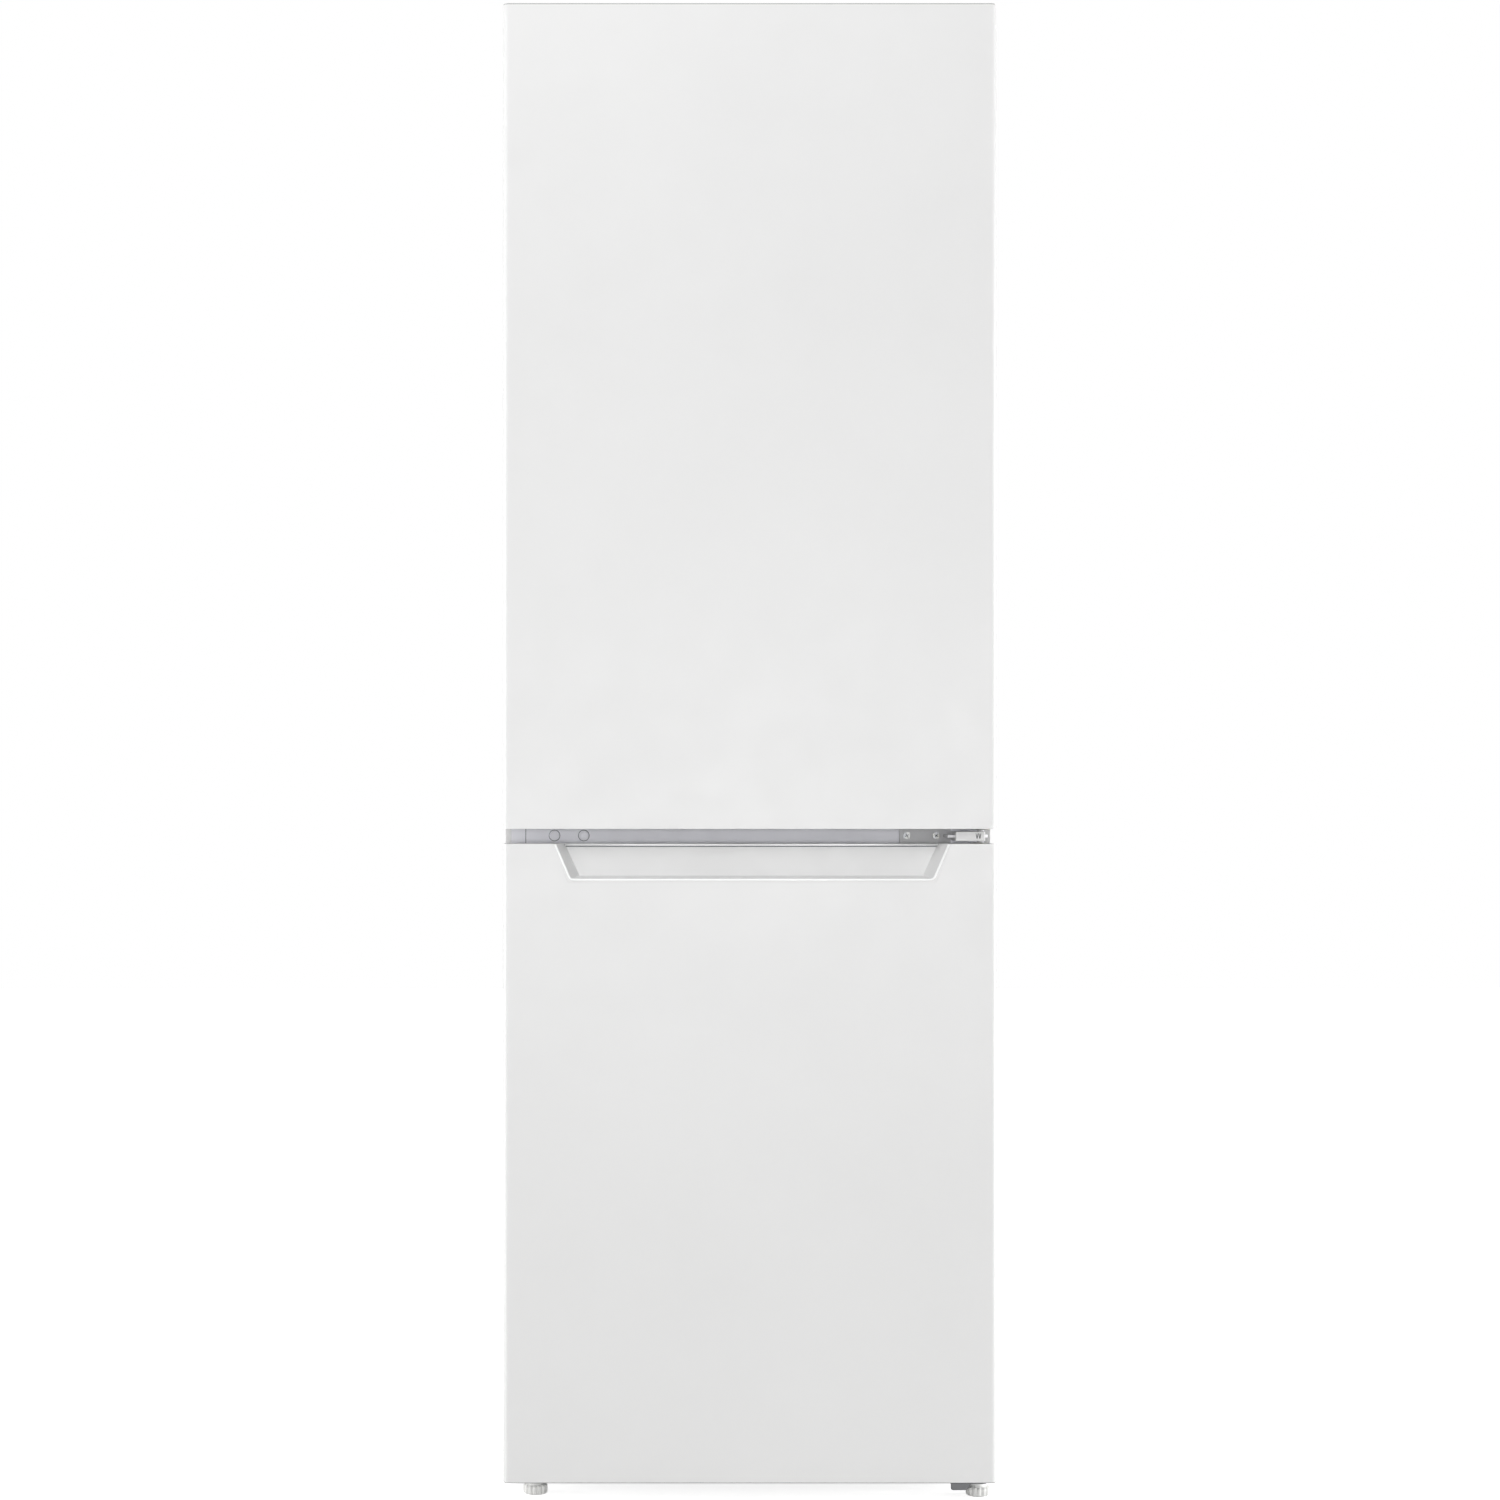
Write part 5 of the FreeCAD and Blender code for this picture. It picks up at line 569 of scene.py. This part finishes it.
class FRIDGE_OT_seals(bpy.types.Operator):
    """Door seals: magnet strip, bellows and root, mitred at the corners"""
    bl_idname = "fridge.seals"
    bl_label = "Door seals"

    def execute(self, context):
        # Section from the cabinet's side round to it again: millimetres in from the seal's outside, and the
        # share of its depth
        section = [(-1.2, 0), (-3.0, 0.1), (-3.4, 0.18), (-1.4, 0.27), (-1.2, 0.36), (-2.4, 0.45),
                   (-0.4, 0.52), (0, 0.6), (0, 0.93), (-0.7, 1), (-6.4, 1), (-6.8, 0.97), (-7.2, 0.97),
                   (-7.6, 1), (-13.3, 1), (-14, 0.93), (-14, 0.62), (-13.4, 0.55), (-11.8, 0.46),
                   (-12.8, 0.36), (-12.6, 0.27), (-11, 0.18), (-11.2, 0.1), (-12.8, 0)]
        lip_round = 0.25 * MM
        for door in ("upper_door", "lower_door"):
            low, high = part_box(door + "_seal")
            middle = (low.z + high.z) / 2
            half_tall = (high.z - low.z) / 2
            rows = [[((high.x + out * MM) * x, low.y + share * (high.y - low.y),
                      middle + (half_tall + out * MM) * z) for out, share in section]
                    for x, z in ((-1, -1), (1, -1), (1, 1), (-1, 1))]
            shape = bmesh.new()
            band(shape, rows, joined=True)
            seal = place_piece(door + "_gasket", shape, "extruded_pvc", door,
                               (door + "_seal",), smooth=False)
            soften(seal, lip_round, 20, 1)
        return {"FINISHED"}


class FRIDGE_OT_thermostat(bpy.types.Operator):
    """Thermostat knob with its ribs and pointer, and the scale beside it"""
    bl_idname = "fridge.thermostat"
    bl_label = "Thermostat"

    def execute(self, context):
        low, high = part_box("thermostat_knob")
        x, z, face = (low.x + high.x) / 2, (low.z + high.z) / 2, low.y
        rim, deep = (high.x - low.x) / 2, high.y - low.y
        ribs, rib_deep, ribbed_rows = 24, 0.9 * MM, (1, 2, 3)
        profile = [(rim - 2.4 * MM, 0), (rim - 1.2 * MM, 0.5 * MM), (rim - 0.7 * MM, 1.6 * MM),
                   (rim - 0.3 * MM, deep - 2 * MM), (rim, deep - 1.4 * MM), (rim, deep)]
        dial = bmesh.new()
        turned(dial, profile, (x, face, z), axis=1, steps=6 * ribs, lobes=ribs, depth=rib_deep,
               fluted=ribbed_rows)
        pointer_half, pointer_start, pointer_in = 1.1 * MM, 4 * MM, 2.2 * MM
        pointer_proud, pointer_sunk = 0.1 * MM, 1 * MM
        slab(dial, (x - pointer_half, face - pointer_proud, z + pointer_start),
             (x + pointer_half, face + pointer_sunk, z + rim - pointer_in))
        place_piece("thermostat_dial", dial, "white_abs", "knob", ("thermostat_knob",))
        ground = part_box("control_housing")[0].y
        marks_made, first_degrees, step_degrees = 6, 90, 54
        mark_clear, first_end, end_grows = 1.6 * MM, 3.4 * MM, 0.15 * MM
        mark_half, mark_proud, mark_deep = 0.45 * MM, 0.06 * MM, 0.3 * MM
        marks = bmesh.new()
        for step in range(marks_made):
            turn = math.radians(first_degrees - step_degrees * step)
            near, far = rim + mark_clear, rim + first_end + end_grows * step
            # A mark that would stand past the housing's edge is left out
            if z + far * math.sin(turn) > high.z + first_end:
                continue
            across = Vector((-math.sin(turn), 0, math.cos(turn))) * mark_half
            along = Vector((math.cos(turn), 0, math.sin(turn)))
            start = Vector((x, ground - mark_proud, z))
            front = [start + along * near - across, start + along * near + across,
                     start + along * far + across, start + along * far - across]
            closed_band(marks, [front, [corner + Vector((0, mark_deep, 0)) for corner in front]])
        place_piece("thermostat_scale", marks, "print_and_shade_grey", "cabinet", smooth=False)
        return {"FINISHED"}


class FRIDGE_OT_shade_lines_and_hooks(bpy.types.Operator):
    """Thin dark strips of painted shade over the doors' outer ends, and the hook marks of the middle hinge's
    cover
    """
    bl_idname = "fridge.edgings"
    bl_label = "Painted_shade_lines"

    def outline_of(self, low, high, corner, side):
        """The painted shade line's run over a door's end, seen from above, from the left side round the
        front.
        """
        inset, back_short, steps = 0.3 * MM, 1 * MM, 6
        near, far = low.y + inset, high.y - back_short
        half = high.x - inset
        turns = [math.pi / 2 * k / steps for k in range(steps + 1)]
        outline = [(-half, far), (-half, near + corner)]
        outline += [(-half + corner * (1 - math.cos(turn)), near + corner * (1 - math.sin(turn)))
                    for turn in turns[1:]]
        # Above, the right-hand end stops in the corner, in front of the hinge's notch
        whole = side < 0
        outline += [(half - corner * (1 - math.sin(turn)), near + corner * (1 - math.cos(turn)))
                    for turn in (turns if whole else turns[:steps // 2 + 1])]
        return outline + ([(half, far)] if whole else [])

    def execute(self, context):
        thick, tall, overlap = 1.3 * MM, 1.0 * MM, 0.3 * MM
        shoulder_share, bevel_share = 0.8, 0.3
        for door, side in (("upper_door", 1), ("lower_door", -1)):
            low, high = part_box(door + "_skin")
            end = high.z if side > 0 else low.z
            outline = self.outline_of(low, high, context.scene.fridge_sizes.skin_round, side)
            rows = []
            for at, (x, y) in enumerate(outline):
                before, after = neighbours(outline, at)
                run = Vector((after[0] - before[0], after[1] - before[1], 0)).normalized()
                inward = Vector((-run.y, run.x, 0)) * thick
                here = Vector((x, y, end - side * overlap))
                rise = Vector((0, 0, side * tall))
                shoulder = rise * shoulder_share
                rows.append([here, here + shoulder, here + rise + inward * bevel_share,
                             here + rise + inward * shoulder_share, here + shoulder + inward, here + inward])
            # Each door's end gets a dark strip: painted shade where the skin meets the cap
            shape = bmesh.new()
            closed_band(shape, rows)
            place_piece(door + "_edging", shape, "marks_and_shade_line_grey", door)
        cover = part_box("hinge_covers")[0].y
        hooks_at, hook_top, hook_notch, hook_foot = (274.2, 277.6), 807.4, 803.2, 801.2
        marks = bmesh.new()
        for x in hooks_at:
            points = [(x - 1.6, hook_top), (x - 0.9, hook_top), (x, hook_notch), (x + 0.9, hook_top),
                      (x + 1.6, hook_top), (x + 0.5, hook_foot), (x - 0.5, hook_foot)]
            closed_band(marks, [[(across * MM, cover - rise, up * MM) for across, up in points]
                                for rise in (-0.3 * MM, 0.25 * MM)])
        place_piece("cover_hooks", marks, "marks_and_shade_line_grey", "cabinet", smooth=False)
        return {"FINISHED"}


def nearest(node, x, z, reach=6 * MM):
    """The foremost depth of a node's own points round that place."""
    return min(v.co.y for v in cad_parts[node].data.vertices
               if abs(v.co.x - x) < reach and abs(v.co.z - z) < reach)


def recess(shape, x, y, z, reach, out, turn):
    """Cross recess of a screw that faces out along y: two dark bars of painted shade that lie a hair proud of
    its head.
    """
    bar_half, sunk, proud, tip_share = 0.45 * MM, 0.4 * MM, 0.08 * MM, 0.92
    for angle in (turn, turn + math.pi / 2):
        along = Vector((math.cos(angle), 0, math.sin(angle))) * reach
        across = Vector((-math.sin(angle), 0, math.cos(angle))) * bar_half
        closed_band(shape, [[Vector((x, y - out * depth, z)) + along * share * a + across * b
                             for a, b in ((1, 1), (1, -1), (-1, -1), (-1, 1))]
                            for depth, share in ((sunk, 1), (-proud, tip_share))])


class FRIDGE_OT_fasteners(bpy.types.Operator):
    """Crossbar's plugs and joints, painted shade in hinge screws' recesses, bottom hinge's flange and back
    panel's screws
    """
    bl_idname = "fridge.fasteners"
    bl_label = "Plugs and screws"

    def crossbar(self):
        """Two blanking plugs, the dark rings of their holes, and the joint of the strip's end piece."""
        plugs_at, level = (-237.5 * MM, -201.5 * MM), 804 * MM
        head = [(5.2, 1.4), (6.25, 1.2), (6.25, 0.5), (5.9, 0.1), (5.3, -0.1), (4.9, 0.1), (4.6, 0.45),
                (3, 0.35), (0.6, 0.3)]
        ring = [(7.0, 0.1), (7.0, -0.12), (6.3, -0.12), (6.3, 0.1)]
        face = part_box("hole_plugs")[0].y
        low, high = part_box("beam_cover")
        for index, x in enumerate(plugs_at):
            plug = bmesh.new()
            turned(plug, in_metres(head), (x, face, level), axis=1, steps=40)
            name = "crossbar_plug_%d" % (index + 1)
            place_piece(name, plug, "grey_abs", "cabinet", ("hole_plugs",))
        joints = bmesh.new()
        for x in plugs_at:
            turned(joints, in_metres(ring), (x, low.y, level), axis=1, steps=40)
        joint_left, joint_right, joint_short = -273.1 * MM, -272.4 * MM, 1.5 * MM
        dark_line_proud, dark_line_sunk = 0.12 * MM, 0.2 * MM
        slab(joints, (joint_left, low.y - dark_line_proud, low.z + joint_short),
             (joint_right, low.y + dark_line_sunk, high.z - joint_short))
        place_piece("crossbar_joints", joints, "print_and_shade_grey", "cabinet", smooth=False)
        # Where the middle hinge's screws sit, and how far each stopped turned
        hinge_screws, cross_reach = ((194.6 * MM, 0.5), (230.6 * MM, 0.95)), 2.6 * MM
        crosses = bmesh.new()
        for x, turn in hinge_screws:
            recess(crosses, x, nearest("hinge_screws", x, level), level, cross_reach, -1, turn)
        place_piece("screw_recess_shade", crosses, "black_pp_and_painted_recess_shade", "cabinet",
                    smooth=False)

    def bottom_flange(self):
        """Lip folded down at the front of the bottom hinge's plate, tapered to its right."""
        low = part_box("bottom_hinge")[0]
        outline = [(0.2, -0.2), (0.2, -9), (1.2, -10.2), (3, -10.8), (18, -10.8), (20.4, -9.8), (22, -7.5),
                   (24.5, -3.4), (26, -3), (26, -0.2)]
        plate_thick, sunk, proud, edge_round = 3.5 * MM, -0.2 * MM, 1.3 * MM, 0.4 * MM
        flange = bmesh.new()
        closed_band(flange, [[(low.x + x * MM, low.y - out, low.z + plate_thick + z * MM) for x, z in outline]
                             for out in (sunk, proud)])
        lip = place_piece("bottom_hinge_flange", flange, "dark_powder", "cabinet")
        soften(lip, edge_round)

    def back_screws(self):
        """Five screws up each side of the back panel and three along its top, with painted shade in their
        recesses.
        """
        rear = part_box("back_panel")[1].y
        side_away, levels, top_level, top_apart = 0.268, (0.30, 0.62, 0.98, 1.34, 1.70), 1.766, 0.16
        spots = [(side * side_away, z) for side in (-1, 1) for z in levels]
        spots += [(step * top_apart, top_level) for step in (-1, 0, 1)]
        dome = [(3.9, -0.2), (3.9, 0.3), (3.6, 1.1), (2.8, 1.8), (1.4, 2.1), (0.3, 2.15)]
        cross_away, cross_reach, first_turn, next_turn = 2.0 * MM, 1.9 * MM, 0.4, 1.1
        heads, crosses = bmesh.new(), bmesh.new()
        for index, (x, z) in enumerate(spots):
            turned(heads, in_metres(dome), (x, rear, z), axis=1, steps=20)
            recess(crosses, x, rear + cross_away, z, cross_reach, 1, first_turn + index * next_turn)
        place_piece("back_screws", heads, "zinc_plate", "cabinet")
        place_piece("back_screw_recess_shade", crosses, "black_pp_and_painted_recess_shade", "cabinet",
                    smooth=False)

    def execute(self, context):
        self.crossbar()
        self.bottom_flange()
        self.back_screws()
        return {"FINISHED"}


class FRIDGE_OT_cooling(bpy.types.Operator):
    """Compressor's welded flange and its process stub"""
    bl_idname = "fridge.cooling"
    bl_label = "Cooling details"

    def execute(self, context):
        # Where the compressor stands, and the height of the weld between the halves of its shell
        x, y, level = -90 * MM, 171 * MM, 128 * MM
        flange = [(71.6, -3.2), (73.4, -2.6), (74.6, -1.4), (75, 0), (74.6, 1.4), (73.4, 2.6), (71.6, 3.2)]
        seam = bmesh.new()
        turned(seam, in_metres(flange), (x, y, level), steps=96)
        place_piece("compressor_seam", seam, "dipped_enamel", "cabinet")
        base = Vector((x - 50 * MM, y + 40 * MM, level + 28 * MM))
        out = Vector((-0.62, 0.5, 0)).normalized()
        # How far out and how far up the stub runs: straight out of the shell, then bent upwards
        bends = [(4, 0), (16, 0), (22, 2), (25, 8), (25.5, 34)]
        stub = bmesh.new()
        stub_radius = 3 * MM
        tube(stub, [base + out * away + Vector((0, 0, up)) for away, up in in_metres(bends)], stub_radius)
        place_piece("process_stub", stub, "drawn_copper", "cabinet")
        return {"FINISHED"}


class FRIDGE_OT_dress(bpy.types.Operator):
    """Gives every carried node its finish and rounds its edges"""
    bl_idname = "fridge.dress"
    bl_label = "Dress the frame"

    def execute(self, context):
        FINISHES.update(finishes(context.scene.fridge_colours))
        for finish, nodes in WORN_BY.items():
            for node in nodes:
                dress(node, FINISHES[finish], EDGES.get(node, 0))
        return {"FINISHED"}


# Softboxes in metres and watts: place, aim, width, height and power. The side ones stand behind the doors'
# face, so that they light the doors' rounded edges and leave the walls of the grip in shade
SOFTBOXES = {
    "front": ((-0.1, -4.4, 0.8), (0, -0.3, 0.8), 4.4, 0.7, 59),
    "left": ((-3.2, -0.14, 0.88), (-0.3, -0.14, 0.8), 0.3, 1.7, 57),
    "right": ((3.2, -0.14, 0.88), (0.2, -0.14, 0.7), 0.3, 1.7, 80),
    "high": ((-0.8, -2.6, 3.6), (0, -0.3, 1.7), 2.2, 1.4, 65),
    "rear": ((0.6, 3.4, 2.4), (0, 0.2, 0.9), 2.4, 2.0, 28),
}


class FRIDGE_OT_stage(bpy.types.Operator):
    """Pale floor and backdrop, soft studio light and the camera of the photograph"""
    bl_idname = "fridge.stage"
    bl_label = "Stage"

    def lay_floor(self, scene):
        """A sheet of paper that glows for the camera alone, less of it round the fridge freezer."""
        reach = 9
        sheet = bpy.data.meshes.new("floor")
        corners = [(-reach, -reach, 0), (reach, -reach, 0), (reach, reach, 0), (-reach, reach, 0)]
        sheet.from_pydata(corners, [], [(0, 1, 2, 3)])
        ground = bpy.data.objects.new("floor", sheet)
        scene.collection.objects.link(ground)
        # Matt paper sweep: even and bright, so that only the object's shadow shows on it
        made, tree, shader = finish_of("paper_sweep", scene.fridge_colours.floor, Roughness=0.9, IOR=1.45)
        fibre = grain(tree, 4 * MM, detail=3.0)
        relief(tree, shader, fibre.outputs["Fac"], 0.05 * MM)
        seen = add(tree, "ShaderNodeLightPath")
        lift = add(tree, "ShaderNodeEmission", {"Color": (1, 1, 1, 1)})
        spot = add(tree, "ShaderNodeTexCoord")
        away = add(tree, "ShaderNodeVectorMath", {0: spot.outputs["Object"]}, operation="LENGTH")
        near_glow, far_glow, glow_from, glow_to = 0.8, 1.0, 1.2, 3.2
        rise = spread(tree, away.outputs["Value"], near_glow, far_glow, glow_from, glow_to)
        glow = add(tree, "ShaderNodeMath", {0: seen.outputs["Is Camera Ray"], 1: rise}, operation="MULTIPLY")
        tree.links.new(glow.outputs[0], lift.inputs["Strength"])
        both = add(tree, "ShaderNodeAddShader", {0: shader.outputs["BSDF"], 1: lift.outputs["Emission"]})
        tree.links.new(both.outputs["Shader"], tree.nodes["Material Output"].inputs["Surface"])
        ground.data.materials.append(made)

    def light_room(self, scene):
        """A white room that is bright to the camera, to gloss and through glass, and dim as a light."""
        world = bpy.data.worlds.new("studio")
        scene.world = world
        world.use_nodes = True
        sky = world.node_tree
        back = sky.nodes["Background"]
        back.inputs["Color"].default_value = (1, 1, 1, 1)
        path = add(sky, "ShaderNodeLightPath")
        camera, gloss, glass = [path.outputs["Is %s Ray" % kind]
                                for kind in ("Camera", "Glossy", "Transmission")]
        seen = add(sky, "ShaderNodeMath", {0: camera, 1: gloss}, operation="MAXIMUM")
        through = add(sky, "ShaderNodeMath", {0: seen.outputs[0], 1: glass}, operation="MAXIMUM")
        as_light, as_seen = 0.28, 1.0
        sky.links.new(spread(sky, through.outputs[0], as_light, as_seen, 0, 1), back.inputs["Strength"])
        for name, (place, aim, wide, tall, power) in SOFTBOXES.items():
            lamp = bpy.data.lights.new(name, "AREA")
            lamp.energy = power
            lamp.shape = "RECTANGLE"
            lamp.size = wide
            lamp.size_y = tall
            held = bpy.data.objects.new(name, lamp)
            held.location = place
            held.rotation_euler = (Vector(aim) - Vector(place)).to_track_quat("-Z", "Y").to_euler()
            scene.collection.objects.link(held)

    def set_camera(self, scene):
        """The photograph's camera: level, left of the middle, and shifted so that upright lines stay so."""
        film_wide, front_away, front_seen = 36, 3.6, 1.8054
        lens = bpy.data.cameras.new("camera")
        lens.sensor_fit = "HORIZONTAL"
        lens.sensor_width = film_wide
        lens.lens = film_wide * front_away / front_seen
        lens.shift_x = 0.0665
        lens.shift_y = 0.0266
        lens.clip_end = 60
        eye = bpy.data.objects.new("camera", lens)
        eye.location = (-0.12, -3.9, 0.86)
        eye.rotation_euler = (math.pi / 2, 0, 0)
        scene.collection.objects.link(eye)
        scene.camera = eye

    def execute(self, context):
        self.lay_floor(context.scene)
        self.light_room(context.scene)
        self.set_camera(context.scene)
        context.scene.view_settings.view_transform = "Standard"
        return {"FINISHED"}


class FRIDGE_PT_pieces(bpy.types.Panel):
    """The pieces of the fridge freezer"""
    bl_idname = "FRIDGE_PT_pieces"
    bl_label = "Fridge freezer"
    bl_space_type = "VIEW_3D"
    bl_region_type = "UI"
    bl_category = "Fridge freezer"

    def draw(self, context):
        for group in (context.scene.fridge_sizes, context.scene.fridge_colours):
            box = self.layout.box()
            for name in group.bl_rna.properties.keys():
                if name not in ("rna_type", "name"):
                    box.prop(group, name)
        for piece in PIECES:
            self.layout.operator(piece.bl_idname)


PIECES = (FRIDGE_OT_stage, FRIDGE_OT_dress, FRIDGE_OT_feet, FRIDGE_OT_grip, FRIDGE_OT_seals,
          FRIDGE_OT_thermostat, FRIDGE_OT_shade_lines_and_hooks, FRIDGE_OT_fasteners, FRIDGE_OT_cooling)
CLASSES = (FridgeSizes, FridgeColours, FRIDGE_PT_pieces) + PIECES


def register():
    for kind in CLASSES:
        bpy.utils.register_class(kind)
    bpy.types.Scene.fridge_sizes = bpy.props.PointerProperty(type=FridgeSizes)
    bpy.types.Scene.fridge_colours = bpy.props.PointerProperty(type=FridgeColours)


def unregister():
    del bpy.types.Scene.fridge_sizes, bpy.types.Scene.fridge_colours
    for kind in reversed(CLASSES):
        bpy.utils.unregister_class(kind)


def main():
    """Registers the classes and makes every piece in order."""
    register()
    for piece in PIECES:
        group, action = piece.bl_idname.split(".")
        getattr(getattr(bpy.ops, group), action)()


if __name__ == "__main__":
    main()
